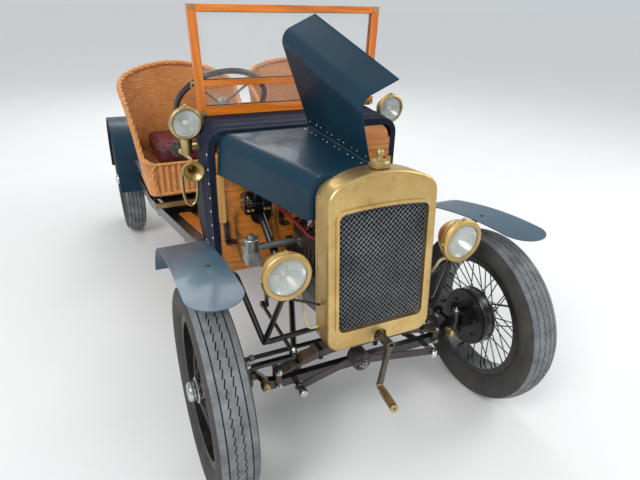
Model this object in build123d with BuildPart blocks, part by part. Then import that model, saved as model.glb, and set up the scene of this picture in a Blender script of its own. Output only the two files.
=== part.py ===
from build123d import *
import os
from math import asin, atan2, cos, degrees, radians, sin, sqrt

# Light open two-seater of the early 1930s: bare front end, one bonnet half raised, varnished wooden body
# frame, wicker seats and wire wheels. Millimetres. The origin is on the ground, on the centre line, at
# mid length. The car faces -Y, its own left side is +X and up is +Z.

os.makedirs("parts", exist_ok=True)

# Driving dimensions
wheelbase = 2057
front_track = 1016
rear_track = 1066
tyre_radius = 319
tyre_width = 114
tread_width = 98
rim_seat_radius = 212
rim_inner_radius = 205
rim_flange_radius = 226
rim_width = 76
spoke_count = 40
spoke_diameter = 4
drum_radius = 103
rear_wing_radius = 376
running_gap = 0.3

front_axle_y = -(wheelbase + rear_wing_radius - tyre_radius) / 2
rear_axle_y = front_axle_y + wheelbase
axle_z = tyre_radius
front_wheel_x = front_track / 2
rear_wheel_x = rear_track / 2


def save(builder, name):
    """Label one finished piece and write its file."""
    builder.part.label = name
    export_step(builder.part, f"parts/{name}.step")


def bar(start, end, radius, bore=0):
    """Round bar or tube from one point to another."""
    run = Vector(*end) - Vector(*start)
    with BuildPart() as piece:
        with BuildSketch(Plane(origin=start, z_dir=run)):
            Circle(radius)
            if bore:
                Circle(bore, mode=Mode.SUBTRACT)
        extrude(amount=run.length)
    return piece.part


def bent_bar(points, radius, bend):
    """Round bar through the given points, with each corner rounded."""
    with BuildPart() as piece:
        with BuildLine() as route:
            FilletPolyline(*points, radius=bend)
        with BuildSketch(Plane(origin=route.line @ 0, z_dir=route.line % 0)):
            Circle(radius)
        sweep(path=route.line)
    return piece.part


def block(x_range, y_range, z_range):
    """Plain block between two limits on each axis."""
    width = x_range[1] - x_range[0]
    depth = y_range[1] - y_range[0]
    with BuildPart() as piece:
        with BuildSketch(Plane.XY.offset(z_range[0])):
            with Locations(((x_range[0] + x_range[1]) / 2, (y_range[0] + y_range[1]) / 2)):
                Rectangle(width, depth)
        extrude(amount=z_range[1] - z_range[0])
    return piece.part


def both_sides(solid):
    """The piece and its mirror image across the centre plane."""
    return [solid, mirror(solid, about=Plane.YZ)]


# Wheels, made once about the X axis with the outer face towards +X
hub_bore = 13
hub_radius = 27
hub_flange_radius = 52
hub_nose_radius = 38
hub_cap_reach = 72
drum_width = 46
drum_wall = 6
drum_face_x = -20
spoke_seat_inner = 60
rim_spread = 9

with BuildPart() as tyre_master:
    with BuildSketch(Plane.XY):
        bead_x = rim_width / 2 - 4.5
        bead_r = rim_seat_radius + running_gap
        flange_r = rim_flange_radius + running_gap
        side_x = tyre_width / 2
        side_r = (flange_r + tyre_radius) / 2 - 5
        shoulder_x = tread_width / 2
        shoulder_r = tyre_radius - 11
        with BuildLine():
            Line((-bead_x, bead_r), (-bead_x, flange_r))
            ThreePointArc((-bead_x, flange_r), (-side_x, side_r), (-shoulder_x, shoulder_r))
            ThreePointArc((-shoulder_x, shoulder_r), (0, tyre_radius), (shoulder_x, shoulder_r))
            ThreePointArc((shoulder_x, shoulder_r), (side_x, side_r), (bead_x, flange_r))
            Line((bead_x, flange_r), (bead_x, bead_r))
            Line((bead_x, bead_r), (-bead_x, bead_r))
        make_face()
    revolve(axis=Axis.X)

with BuildPart() as wheel_master:
    with BuildSketch(Plane.XY):
        half_rim = rim_width / 2
        with BuildLine():
            Polyline((-half_rim, rim_inner_radius), (-half_rim, rim_flange_radius),
                     (-half_rim + 4, rim_flange_radius), (-half_rim + 4, rim_seat_radius),
                     (half_rim - 4, rim_seat_radius), (half_rim - 4, rim_flange_radius),
                     (half_rim, rim_flange_radius), (half_rim, rim_inner_radius), close=True)
        make_face()
    revolve(axis=Axis.X)
    with BuildSketch(Plane.XY):
        with BuildLine():
            Polyline((drum_face_x, hub_bore), (drum_face_x, hub_radius), (drum_face_x - 4, hub_radius),
                     (drum_face_x - 4, drum_radius - drum_wall), (drum_face_x - drum_width, drum_radius - drum_wall),
                     (drum_face_x - drum_width, drum_radius), (drum_face_x + 2, drum_radius),
                     (drum_face_x + 2, spoke_seat_inner + 4), (-10, spoke_seat_inner), (-4, hub_flange_radius),
                     (8, hub_nose_radius), (34, hub_nose_radius - 3), (38, hub_nose_radius), (44, hub_nose_radius),
                     (50, 30), (hub_cap_reach - 8, 29), (hub_cap_reach, 18), (hub_cap_reach, 0), (34, 0),
                     (34, hub_bore), close=True)
        make_face()
    revolve(axis=Axis.X)
    spokes_per_row = spoke_count // 2
    # columns: x at the hub, radius at the hub, x at the rim
    for hub_x, hub_r, rim_x in ((41, hub_nose_radius - 3, rim_spread), (-12, spoke_seat_inner - 4, -rim_spread)):
        for index in range(spokes_per_row):
            turn = 360 / spokes_per_row * index
            lead = 38 if index % 2 else -38
            seat_shift = 3 if index % 2 else 0
            start = (hub_x - seat_shift, hub_r * cos(radians(turn + lead)), hub_r * sin(radians(turn + lead)))
            end_x = rim_x - seat_shift
            end = (end_x, (rim_inner_radius + 2) * cos(radians(turn)), (rim_inner_radius + 2) * sin(radians(turn)))
            run = Vector(*end) - Vector(*start)
            with BuildSketch(Plane(origin=start, z_dir=run)):
                Circle(spoke_diameter / 2)
            extrude(amount=run.length)

# columns: name, wheel centre x, axle y
wheel_places = (
    ("front_right", -front_wheel_x, front_axle_y),
    ("front_left", front_wheel_x, front_axle_y),
    ("rear_right", -rear_wheel_x, rear_axle_y),
    ("rear_left", rear_wheel_x, rear_axle_y),
)
for place, wheel_x, wheel_y in wheel_places:
    outward = 0 if wheel_x > 0 else 180
    spot = Location((wheel_x, wheel_y, axle_z), (0, 0, outward))
    with BuildPart() as tyre:
        with Locations(spot):
            add(tyre_master.part)
    save(tyre, f"tyre_{place}")
    with BuildPart() as wire_wheel:
        with Locations(spot):
            add(wheel_master.part)
    save(wire_wheel, f"wire_wheel_{place}")

# Front axle beam with king-pin eyes and the two radius rods
kingpin_x = 395
kingpin_radius = 8
kingpin_boss_radius = 16
eye_low_z = axle_z - 22
eye_high_z = axle_z + 22
beam_height = 30
beam_depth = 24
beam_low_z = 248
beam_drop_x = 330
beam_flat_x = kingpin_x - 25
beam_end_half = 12
shackle_x = 300
radius_rod_joint_y = front_axle_y + 625
radius_rod_joint_z = 305
beam_mid_z = beam_low_z + beam_height / 2

with BuildPart() as front_axle:
    with BuildSketch(Plane.XZ.offset(-front_axle_y - beam_depth / 2)):
        with BuildLine():
            beam_low_z_end = axle_z - beam_end_half
            beam_high_z_end = axle_z + beam_end_half
            Polyline((-kingpin_x, beam_low_z_end), (-kingpin_x, beam_high_z_end), (-beam_flat_x, beam_high_z_end),
                     (-beam_drop_x, beam_low_z + beam_height + 8), (-beam_drop_x + 30, beam_low_z + beam_height),
                     (beam_drop_x - 30, beam_low_z + beam_height), (beam_drop_x, beam_low_z + beam_height + 8),
                     (beam_flat_x, beam_high_z_end), (kingpin_x, beam_high_z_end), (kingpin_x, beam_low_z_end),
                     (beam_flat_x, beam_low_z_end), (beam_drop_x, beam_low_z + 4), (beam_drop_x - 30, beam_low_z),
                     (-beam_drop_x + 30, beam_low_z), (-beam_drop_x, beam_low_z + 4), (-beam_flat_x, beam_low_z_end),
                     close=True)
        make_face()
    extrude(amount=beam_depth)
    with BuildSketch(Plane.XY.offset(eye_low_z)):
        with Locations((-kingpin_x, front_axle_y), (kingpin_x, front_axle_y)):
            Circle(kingpin_boss_radius)
    extrude(amount=eye_high_z - eye_low_z)
    for side in (-1, 1):
        rod_start = Vector(side * (shackle_x - 60), front_axle_y, beam_mid_z)
        rod_end = Vector(side * 8, radius_rod_joint_y, radius_rod_joint_z)
        with BuildSketch(Plane(origin=rod_start, z_dir=rod_end - rod_start)):
            Circle(12)
        extrude(amount=(rod_end - rod_start).length)
    with BuildSketch(Plane.XY.offset(radius_rod_joint_z - 20)):
        with Locations((0, radius_rod_joint_y)):
            Circle(24)
    extrude(amount=40)
    with BuildSketch(Plane.XY.offset(eye_low_z - 1)):
        with Locations((-kingpin_x, front_axle_y), (kingpin_x, front_axle_y)):
            Circle(kingpin_radius + running_gap)
    extrude(amount=eye_high_z - eye_low_z + 2, mode=Mode.SUBTRACT)
save(front_axle, "front_axle")

# Frame: two channels that spread from the nose to the rear springs
rail_low_z = 372
rail_top_z = 430
rail_width = 28
nose_y = front_axle_y - 20
frame_end_y = front_axle_y + 1500
rail_nose_x = 47
rail_end_x = 330
cross_bar_y = front_axle_y + 650
radiator_lean = 4
radiator_face_y = front_axle_y - 112
radiator_bottom_z = 415
radiator_depth = 85
radiator_plane = Plane(
    origin=(0, radiator_face_y, radiator_bottom_z),
    x_dir=(1, 0, 0),
    z_dir=(0, -cos(radians(radiator_lean)), sin(radians(radiator_lean))),
)


def rail_x(y):
    """Centre of the frame rail, out from the centre line."""
    return rail_nose_x + (rail_end_x - rail_nose_x) * (y - front_axle_y) / (frame_end_y - front_axle_y)


cross_drop_z = 347
spring_seat_z = 384
spring_seat_top_z = 424
rail_start_y = front_axle_y + 26
rear_bar_low_z = rail_low_z + 14
rear_bar_y = frame_end_y - 60
with BuildPart() as chassis_frame:
    half_rail = rail_width / 2
    for side in (-1, 1):
        with BuildSketch(Plane.XY.offset(rail_low_z)):
            with BuildLine():
                Polyline((side * (rail_x(rail_start_y) - half_rail), rail_start_y),
                         (side * (rail_x(rail_start_y) + half_rail), rail_start_y),
                         (side * (rail_x(frame_end_y) + half_rail), frame_end_y),
                         (side * (rail_x(frame_end_y) - half_rail), frame_end_y), close=True)
            make_face()
        extrude(amount=rail_top_z - rail_low_z)
        with BuildSketch(Plane.XY.offset(cross_drop_z)):
            with Locations((side * rail_x(cross_bar_y), cross_bar_y)):
                Rectangle(rail_width, 36)
        extrude(amount=rail_low_z - cross_drop_z)
    with BuildSketch(Plane.XY.offset(spring_seat_z)):
        with Locations((0, front_axle_y + 15)):
            Rectangle(2 * (rail_nose_x + half_rail), 70)
    extrude(amount=spring_seat_top_z - spring_seat_z)
    with BuildSketch(radiator_plane.offset(-radiator_depth - 20)):
        with Locations((0, -5 - running_gap)):
            Rectangle(180, 10)
    extrude(amount=radiator_depth + 6)
    with BuildSketch(Plane.XY.offset(cross_drop_z - 16)):
        with Locations((0, cross_bar_y)):
            Rectangle(2 * rail_x(cross_bar_y) + rail_width, 36)
    extrude(amount=16)
    with BuildSketch(Plane.XY.offset(rear_bar_low_z)):
        with Locations((0, rear_bar_y)):
            Rectangle(2 * rail_x(rear_bar_y), 44)
    extrude(amount=rail_top_z - 6 - rear_bar_low_z)
    # channel sides are open inwards
    for side in (-1, 1):
        with BuildSketch(Plane.XY.offset(rail_low_z + 4)):
            start_y = cross_bar_y + 40
            end_y = frame_end_y - 100
            with BuildLine():
                Polyline((side * (rail_x(start_y) - half_rail - 1), start_y),
                         (side * (rail_x(start_y) + half_rail - 4), start_y),
                         (side * (rail_x(end_y) + half_rail - 4), end_y),
                         (side * (rail_x(end_y) - half_rail - 1), end_y), close=True)
            make_face()
        extrude(amount=rail_top_z - rail_low_z - 8, mode=Mode.SUBTRACT)
    with BuildSketch(Plane.XY.offset(radius_rod_joint_z + 20 + running_gap)):
        with Locations((0, radius_rod_joint_y)):
            Circle(22)
    extrude(amount=cross_drop_z - 16 - radius_rod_joint_z - 20 - running_gap)
save(chassis_frame, "chassis_frame")

# Leaf springs: one across the front, two quarter springs at the rear
leaf_thickness = 6.5
leaf_width = 44
front_spring_radius = 1022
front_spring_low_z = spring_seat_z - 6 * leaf_thickness
front_leaf_reaches = (300, 262, 220, 178, 136, 94)
rear_leaf_lengths = (720, 600, 480, 360, 250)
rear_leaf_root_y = frame_end_y - 170
rear_spring_x = rail_x(rear_bar_y)
shackle_plate = 4

with BuildPart() as leaf_springs:
    for index, reach in enumerate(front_leaf_reaches):
        inner_radius = front_spring_radius + index * leaf_thickness
        with BuildSketch(Plane.XZ.offset(-front_axle_y - leaf_width / 2)):
            with Locations((0, front_spring_low_z - front_spring_radius)):
                Circle(inner_radius + leaf_thickness)
                Circle(inner_radius, mode=Mode.SUBTRACT)
            with Locations((0, front_spring_low_z)):
                Rectangle(2 * reach, 300, mode=Mode.INTERSECT)
        extrude(amount=leaf_width)
    eye_drop = front_spring_radius - sqrt(front_spring_radius**2 - shackle_x**2)
    eye_z = front_spring_low_z - eye_drop + 4
    for side in (-1, 1):
        for face in (-1, 1):
            inner_face = face * (beam_depth / 2 + running_gap)
            outer_face = face * (beam_depth / 2 + running_gap + shackle_plate)
            plate_y = front_axle_y + (inner_face + outer_face) / 2
            with BuildSketch(Plane.XZ.offset(-plate_y - shackle_plate / 2)):
                with Locations((side * shackle_x, (eye_z + beam_mid_z) / 2)):
                    Rectangle(20, eye_z - beam_mid_z + 20)
            extrude(amount=shackle_plate)
    for side in (-1, 1):
        for index, length in enumerate(rear_leaf_lengths):
            with BuildSketch(Plane.XY.offset(rail_low_z - (index + 1) * leaf_thickness)):
                with Locations((side * rear_spring_x, rear_leaf_root_y + length / 2)):
                    Rectangle(leaf_width, length)
            extrude(amount=leaf_thickness)
save(leaf_springs, "leaf_springs")

# Friction damper: two flat arms between the axle and a stack of discs
damper_x = -40
damper_z = 322
damper_front_y = front_axle_y - 60
damper_arm_height = 26
damper_arm_end_x = 245
damper_arm_end_z = beam_mid_z + 6

with BuildPart() as friction_damper:
    with BuildSketch(Plane.XZ.offset(-damper_front_y)):
        with Locations((damper_x, damper_z)):
            Circle(31)
    extrude(amount=26, both=True)
    for side in (-1, 1):
        arm_end = Vector(side * damper_arm_end_x, damper_arm_end_z)
        arm_start = Vector(damper_x, damper_z)
        arm_run = arm_end - arm_start
        lift = 8 * side
        with BuildSketch(Plane.XZ.offset(-damper_front_y + lift)):
            with Locations((arm_start + arm_end) * 0.5):
                Rectangle(arm_run.length, damper_arm_height, rotation=degrees(atan2(arm_run.Y, arm_run.X)))
            with Locations(arm_end):
                Circle(damper_arm_height / 2 + 2)
        extrude(amount=5)
        with BuildSketch(Plane.XZ.offset(-front_axle_y + beam_depth / 2 + running_gap)):
            with Locations((side * damper_arm_end_x, damper_arm_end_z)):
                Circle(9)
        extrude(amount=front_axle_y - beam_depth / 2 - damper_front_y + 26)
save(friction_damper, "friction_damper")

# Steering knuckles with stub axle, brake backplate and arms
track_arm_length = 95
drag_arm_length = 150
jaw_gap = 1
jaw_thickness = 12
backplate_x = front_wheel_x + drum_face_x - drum_width - 9
backplate_thickness = 4
arm_width = 18
track_arm_z = eye_low_z - jaw_gap - jaw_thickness
drag_arm_z = eye_high_z + jaw_gap
ball_pin_radius = 6
ball_pin_height = 14


def knuckle(side, with_drag_arm):
    """Stub axle, jaws, king pin, backplate and steering arms of one side."""
    with BuildPart() as piece:
        for low_z in (track_arm_z, drag_arm_z):
            with BuildSketch(Plane.XY.offset(low_z)):
                with Locations((side * kingpin_x, front_axle_y)):
                    Circle(kingpin_boss_radius)
                with Locations((side * (kingpin_x + backplate_x) / 2, front_axle_y)):
                    Rectangle(backplate_x - kingpin_x, 2 * kingpin_boss_radius)
            extrude(amount=jaw_thickness)
        with BuildSketch(Plane.XY.offset(track_arm_z)):
            web_start = kingpin_x + kingpin_boss_radius + 2
            with Locations((side * (web_start + backplate_x) / 2, front_axle_y)):
                Rectangle(backplate_x - web_start, 2 * kingpin_boss_radius)
        extrude(amount=drag_arm_z + jaw_thickness - track_arm_z)
        with BuildSketch(Plane.XY.offset(track_arm_z)):
            with Locations((side * kingpin_x, front_axle_y)):
                Circle(kingpin_radius)
        extrude(amount=drag_arm_z + jaw_thickness - track_arm_z)
        with BuildSketch(Plane.YZ.offset(side * backplate_x)):
            with Locations((front_axle_y, axle_z)):
                Circle(drum_radius)
        extrude(amount=side * backplate_thickness)
        with BuildSketch(Plane.YZ.offset(side * (backplate_x - 5))):
            with Locations((front_axle_y, axle_z)):
                Circle(hub_bore - running_gap)
        extrude(amount=side * (front_wheel_x - backplate_x + 30))
        with BuildSketch(Plane.XY.offset(track_arm_z)):
            with Locations((side * kingpin_x, front_axle_y + track_arm_length / 2)):
                Rectangle(arm_width, track_arm_length)
            with Locations((side * kingpin_x, front_axle_y + track_arm_length)):
                Circle(12)
        extrude(amount=jaw_thickness)
        with BuildSketch(Plane.XY.offset(track_arm_z + jaw_thickness)):
            with Locations((side * kingpin_x, front_axle_y + track_arm_length)):
                Circle(ball_pin_radius)
        extrude(amount=ball_pin_height)
        if with_drag_arm:
            with BuildSketch(Plane.XY.offset(drag_arm_z)):
                with Locations((side * (kingpin_x - drag_arm_length / 2), front_axle_y)):
                    Rectangle(drag_arm_length, arm_width)
                with Locations((side * (kingpin_x - drag_arm_length), front_axle_y)):
                    Circle(12)
            extrude(amount=jaw_thickness)
            with BuildSketch(Plane.XY.offset(drag_arm_z + jaw_thickness)):
                with Locations((side * (kingpin_x - drag_arm_length), front_axle_y)):
                    Circle(ball_pin_radius)
            extrude(amount=ball_pin_height)
    return piece


save(knuckle(-1, True), "knuckle_right")
save(knuckle(1, False), "knuckle_left")

# Track rod and drag link: a rod with an eye over each ball pin
eye_radius = 13
eye_height = 12
track_rod_y = front_axle_y + track_arm_length
track_rod_low_z = track_arm_z + jaw_thickness + 1
drag_link_x = -(kingpin_x - drag_arm_length)
drag_link_low_z = drag_arm_z + jaw_thickness + 1
drag_link_z = drag_link_low_z + eye_height / 2
steering_box_y = front_axle_y + 300

with BuildPart() as track_rod:
    with BuildSketch(Plane.YZ.offset(-kingpin_x)):
        with Locations((track_rod_y, track_rod_low_z + eye_height / 2)):
            Circle(8)
    extrude(amount=2 * kingpin_x)
    with BuildSketch(Plane.XY.offset(track_rod_low_z - 2)):
        with Locations((-kingpin_x, track_rod_y), (kingpin_x, track_rod_y)):
            Circle(eye_radius + 2)
    extrude(amount=eye_height + 6, mode=Mode.SUBTRACT)
    with BuildSketch(Plane.XY.offset(track_rod_low_z)):
        with Locations((-kingpin_x, track_rod_y), (kingpin_x, track_rod_y)):
            Circle(eye_radius + 2.5)
            Circle(ball_pin_radius + running_gap, mode=Mode.SUBTRACT)
    extrude(amount=eye_height)
save(track_rod, "track_rod")

with BuildPart() as drag_link:
    with BuildSketch(Plane.XZ.offset(-front_axle_y - eye_radius + 1)):
        with Locations((drag_link_x, drag_link_z)):
            Circle(7)
    extrude(amount=-(steering_box_y - front_axle_y - 2 * eye_radius + 2))
    with BuildSketch(Plane.XY.offset(drag_link_low_z)):
        with Locations((drag_link_x, front_axle_y)):
            Circle(eye_radius)
            Circle(ball_pin_radius + running_gap, mode=Mode.SUBTRACT)
    extrude(amount=eye_height)
    with BuildSketch(Plane.YZ.offset(drag_link_x - eye_height / 2)):
        with Locations((steering_box_y, drag_link_z)):
            Circle(eye_radius)
            Circle(ball_pin_radius + running_gap, mode=Mode.SUBTRACT)
    extrude(amount=eye_height)
save(drag_link, "drag_link")

# Steering box, column and drop arm
drop_arm_length = drag_arm_length
steering_box_z = drag_link_z + drop_arm_length
steering_box_x = -178
sector_radius = 11
drop_arm_x = drag_link_x + eye_height / 2 + 3
drop_arm_thickness = 12
steering_wheel_centre = Vector(-215, front_axle_y + 850, 990)
steering_box_centre = Vector(steering_box_x, steering_box_y, steering_box_z)
column_run = steering_wheel_centre - steering_box_centre
column_direction = column_run.normalized()
column_radius = 15
steering_wheel_radius = 190
steering_rim_radius = 11
steering_boss_radius = 27
steering_boss_height = 44

with BuildPart() as drop_arm:
    with BuildSketch(Plane.YZ.offset(drop_arm_x)):
        with Locations((steering_box_y, steering_box_z - drop_arm_length / 2)):
            Rectangle(18, drop_arm_length)
        with Locations((steering_box_y, steering_box_z)):
            Circle(20)
        with Locations((steering_box_y, steering_box_z - drop_arm_length)):
            Circle(13)
        with Locations((steering_box_y, steering_box_z)):
            Circle(sector_radius + running_gap, mode=Mode.SUBTRACT)
    extrude(amount=drop_arm_thickness)
save(drop_arm, "drop_arm")

column_top = steering_wheel_centre - column_direction * (steering_boss_height + running_gap)
box_column = bar(steering_box_centre, column_top, column_radius)
with BuildPart() as steering_column:
    with BuildSketch(Plane(origin=steering_box_centre - column_direction * 60, z_dir=column_direction)):
        Circle(34)
    extrude(amount=85)
    add(box_column)
    with BuildSketch(Plane.YZ.offset(steering_box_x)):
        with Locations((steering_box_y, steering_box_z)):
            Circle(26)
    extrude(amount=drop_arm_x + drop_arm_thickness + 2 - steering_box_x)
    with BuildSketch(Plane.YZ.offset(drop_arm_x + drop_arm_thickness + 2)):
        with Locations((steering_box_y, steering_box_z)):
            Circle(sector_radius)
    extrude(amount=-(drop_arm_thickness + 6))
    # bracket on the outer side of the frame rail
    bracket_x = -(rail_x(steering_box_y + 8) + half_rail + running_gap)
    with BuildSketch(Plane.XZ.offset(-steering_box_y - 8)):
        with BuildLine():
            Polyline((bracket_x, rail_low_z + 6), (bracket_x, rail_top_z + 14), (steering_box_x + 22, steering_box_z),
                     (steering_box_x - 8, steering_box_z), (steering_box_x, rail_top_z + 30),
                     (bracket_x - 22, rail_low_z + 6), close=True)
        make_face()
    extrude(amount=16)
save(steering_column, "steering_column")

steering_plane = Plane(origin=steering_wheel_centre, x_dir=(1, 0, 0), z_dir=column_direction)
with BuildPart() as steering_wheel:
    with BuildSketch(steering_plane.offset(-steering_boss_height)):
        Circle(steering_boss_radius)
    extrude(amount=steering_boss_height)
    with BuildSketch(steering_plane.rotated((90, 0, 0))):
        with Locations((steering_wheel_radius - steering_rim_radius, 0)):
            Circle(steering_rim_radius)
    revolve(axis=Axis(steering_wheel_centre, column_direction))
    for index in range(4):
        spoke_turn = radians(45 + 90 * index)
        spoke_start = steering_plane.from_local_coords(Vector(10 * cos(spoke_turn), 10 * sin(spoke_turn), -20))
        reach = steering_wheel_radius - steering_rim_radius
        spoke_end = steering_plane.from_local_coords(Vector(reach * cos(spoke_turn), reach * sin(spoke_turn), 0))
        with BuildSketch(Plane(origin=spoke_start, z_dir=spoke_end - spoke_start)):
            Circle(4.5)
        extrude(amount=(spoke_end - spoke_start).length)
save(steering_wheel, "steering_wheel")

# Rear axle casing with torque tube
rear_backplate_x = rear_wheel_x + drum_face_x - drum_width - 9
torque_tube_y = front_axle_y + 705
torque_tube_z = 385
axle_casing_radius = 25
final_drive_radius = 96

with BuildPart() as rear_axle:
    with BuildSketch(Plane.YZ.offset(-rear_backplate_x)):
        with Locations((rear_axle_y, axle_z)):
            Circle(axle_casing_radius)
    extrude(amount=2 * rear_backplate_x)
    with BuildSketch(Plane.YZ.offset(-46)):
        with Locations((rear_axle_y, axle_z)):
            Circle(final_drive_radius)
    extrude(amount=92)
    for side in (-1, 1):
        with BuildSketch(Plane.YZ.offset(side * 46)):
            with Locations((rear_axle_y, axle_z)):
                Circle(final_drive_radius)
        extrude(amount=side * 70, taper=42)
        with BuildSketch(Plane.YZ.offset(side * rear_backplate_x)):
            with Locations((rear_axle_y, axle_z)):
                Circle(drum_radius)
        extrude(amount=side * backplate_thickness)
        with BuildSketch(Plane.YZ.offset(side * (rear_backplate_x - 5))):
            with Locations((rear_axle_y, axle_z)):
                Circle(hub_bore - running_gap)
        extrude(amount=side * (rear_wheel_x - rear_backplate_x + 30))
        with BuildSketch(Plane.XY.offset(axle_z)):
            with Locations((side * rear_spring_x, rear_axle_y)):
                Rectangle(leaf_width, 60)
        extrude(amount=rail_low_z - leaf_thickness - axle_z)
    tube_start = Vector(0, torque_tube_y, torque_tube_z)
    tube_end = Vector(0, rear_axle_y, axle_z)
    with BuildSketch(Plane(origin=tube_start, z_dir=tube_end - tube_start)):
        Circle(26)
    extrude(amount=(tube_end - tube_start).length)
save(rear_axle, "rear_axle")

# Engine and gearbox in one unit, open to view on the raised side
crank_z = 436
engine_front_y = front_axle_y + 80
engine_back_y = front_axle_y + 400
bell_end_y = front_axle_y + 452
gearbox_end_y = torque_tube_y - 2
crankcase_half = 105
block_half = 84
block_low_z = 520
head_low_z = 596
head_top_z = 640
plug_x = -72
plug_count = 4
plug_pitch = 72
bell_radius = 100
port_x = -block_half

with BuildPart() as engine:
    with BuildSketch(Plane.XY.offset(rail_top_z + 1)):
        with Locations((0, (engine_front_y + engine_back_y) / 2)):
            RectangleRounded(2 * crankcase_half, engine_back_y - engine_front_y, 20)
    extrude(amount=block_low_z - rail_top_z - 1)
    with BuildSketch(Plane.XY.offset(368)):
        with BuildLine():
            Polyline((-40, engine_front_y + 20), (40, engine_front_y + 20), (80, engine_back_y), (-80, engine_back_y),
                     close=True)
        make_face()
    extrude(amount=rail_top_z + 2 - 368)
    with BuildSketch(Plane.XY.offset(block_low_z)):
        with Locations((0, (engine_front_y + engine_back_y) / 2)):
            RectangleRounded(2 * block_half, engine_back_y - engine_front_y - 16, 12)
    extrude(amount=head_low_z - block_low_z)
    with BuildSketch(Plane.XY.offset(head_low_z)):
        with Locations((0, (engine_front_y + engine_back_y) / 2)):
            RectangleRounded(2 * block_half + 12, engine_back_y - engine_front_y - 6, 16)
    extrude(amount=head_top_z - head_low_z)
    with BuildSketch(Plane.XZ.offset(-engine_back_y + 4)):
        with Locations((0, crank_z)):
            Circle(bell_radius)
    extrude(amount=-(bell_end_y - engine_back_y + 4))
    with BuildSketch(Plane.XZ.offset(-bell_end_y)):
        with Locations((0, crank_z - 10)):
            RectangleRounded(140, 150, 24)
    extrude(amount=-(gearbox_end_y - bell_end_y))
    plug_mid_y = (engine_front_y + engine_back_y) / 2
    for index in range(plug_count):
        plug_y = plug_mid_y + (index - (plug_count - 1) / 2) * plug_pitch
        with BuildSketch(Plane.XY.offset(head_top_z)):
            with Locations((plug_x, plug_y)):
                RegularPolygon(12, 6)
        extrude(amount=14)
        with BuildSketch(Plane.XY.offset(head_top_z + 14)):
            with Locations((plug_x, plug_y)):
                Circle(7)
        extrude(amount=34)
    # water outlet at the front of the head
    with BuildSketch(Plane.XY.offset(head_top_z)):
        with Locations((30, engine_front_y + 30)):
            Circle(24)
    extrude(amount=34)
    # starting dog
    with BuildSketch(Plane.XZ.offset(-engine_front_y)):
        with Locations((0, crank_z + 25)):
            Circle(52)
    extrude(amount=24)
    # upright distributor
    with BuildSketch(Plane.XY.offset(head_top_z)):
        with Locations((40, engine_back_y - 50)):
            Circle(20)
    extrude(amount=60)
    with BuildSketch(Plane.XY.offset(head_top_z + 60)):
        with Locations((40, engine_back_y - 50)):
            Circle(36)
    extrude(amount=40, taper=12)
save(engine, "engine")

# Carburettor and inlet pipe on the off side
carburettor_x = -267
carburettor_y = front_axle_y + 332
carburettor_z = 558
inlet_pipe_radius = 13
inlet_z = carburettor_z + 22

with BuildPart() as carburettor:
    with BuildSketch(Plane.YZ.offset(port_x - running_gap)):
        with Locations((carburettor_y, inlet_z)):
            Rectangle(70, 30)
    extrude(amount=-10)
    with BuildSketch(Plane.YZ.offset(port_x - running_gap - 9)):
        with Locations((carburettor_y, inlet_z)):
            Circle(inlet_pipe_radius)
    extrude(amount=carburettor_x - port_x + 9)
    with BuildSketch(Plane.XY.offset(carburettor_z - 36)):
        with Locations((carburettor_x, carburettor_y)):
            Circle(24)
    extrude(amount=96)
    with BuildSketch(Plane.XY.offset(carburettor_z - 36)):
        with Locations((carburettor_x, carburettor_y + 36)):
            Circle(22)
    extrude(amount=54)
    with BuildSketch(Plane.XZ.offset(-carburettor_y)):
        with Locations((carburettor_x, carburettor_z - 6)):
            Circle(21)
    extrude(amount=44)
save(carburettor, "carburettor")

# Exhaust: branch on the near side of the block, pipe under the floor
exhaust_x = block_half + 40
exhaust_z = 575
exhaust_drop_y = front_axle_y + 345
pipe_radius = 17
pipe_x = 205
pipe_z = 330
silencer_start_y = front_axle_y + 1050
silencer_length = 420
silencer_radius = 42
exhaust_pipe = bent_bar(
    [(exhaust_x, engine_front_y + 40, exhaust_z), (exhaust_x, exhaust_drop_y, exhaust_z),
     (pipe_x, exhaust_drop_y + 55, pipe_z), (pipe_x, silencer_start_y + 50, pipe_z)],
    pipe_radius, 55,
)
silencer = bar((pipe_x, silencer_start_y, pipe_z), (pipe_x, silencer_start_y + silencer_length, pipe_z),
               silencer_radius)
tail_pipe = bar((pipe_x, silencer_start_y + silencer_length - 20, pipe_z), (pipe_x, rear_axle_y - 160, pipe_z),
                pipe_radius)

with BuildPart() as exhaust:
    add(exhaust_pipe)
    add(silencer)
    add(tail_pipe)
    for index in range(3):
        branch_y = plug_mid_y + (index - 1) * 96
        with BuildSketch(Plane.YZ.offset(block_half + running_gap)):
            with Locations((branch_y, exhaust_z)):
                Rectangle(52, 40)
        extrude(amount=exhaust_x - block_half - running_gap)
    with BuildSketch(Plane.XY.offset(pipe_z)):
        with Locations((pipe_x, rear_bar_y)):
            Rectangle(14, 20)
    extrude(amount=rear_bar_low_z - pipe_z)
save(exhaust, "exhaust")

# Radiator: polished shell, core, woven stone guard and cap
shell_half_width = 180
shell_top_half_width = 177
shell_shoulder = 492
shell_height = 540
shell_wall = 3
shell_lip = 14
shell_edge_radius = 10
shell_bottom_radius = 45
shell_shoulder_radius = 58
mesh_half_width = 145
mesh_low = 64
mesh_high = 440
mesh_rise = 8
mesh_corner = 20
bead_width = 10
bead_height = 4
crank_hole_radius = 22
crank_hole_up = crank_z - radiator_bottom_z
guard_setback = 8
guard_thickness = 2.5
guard_wire = 3
guard_pitch = 21
core_low = 54


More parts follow.
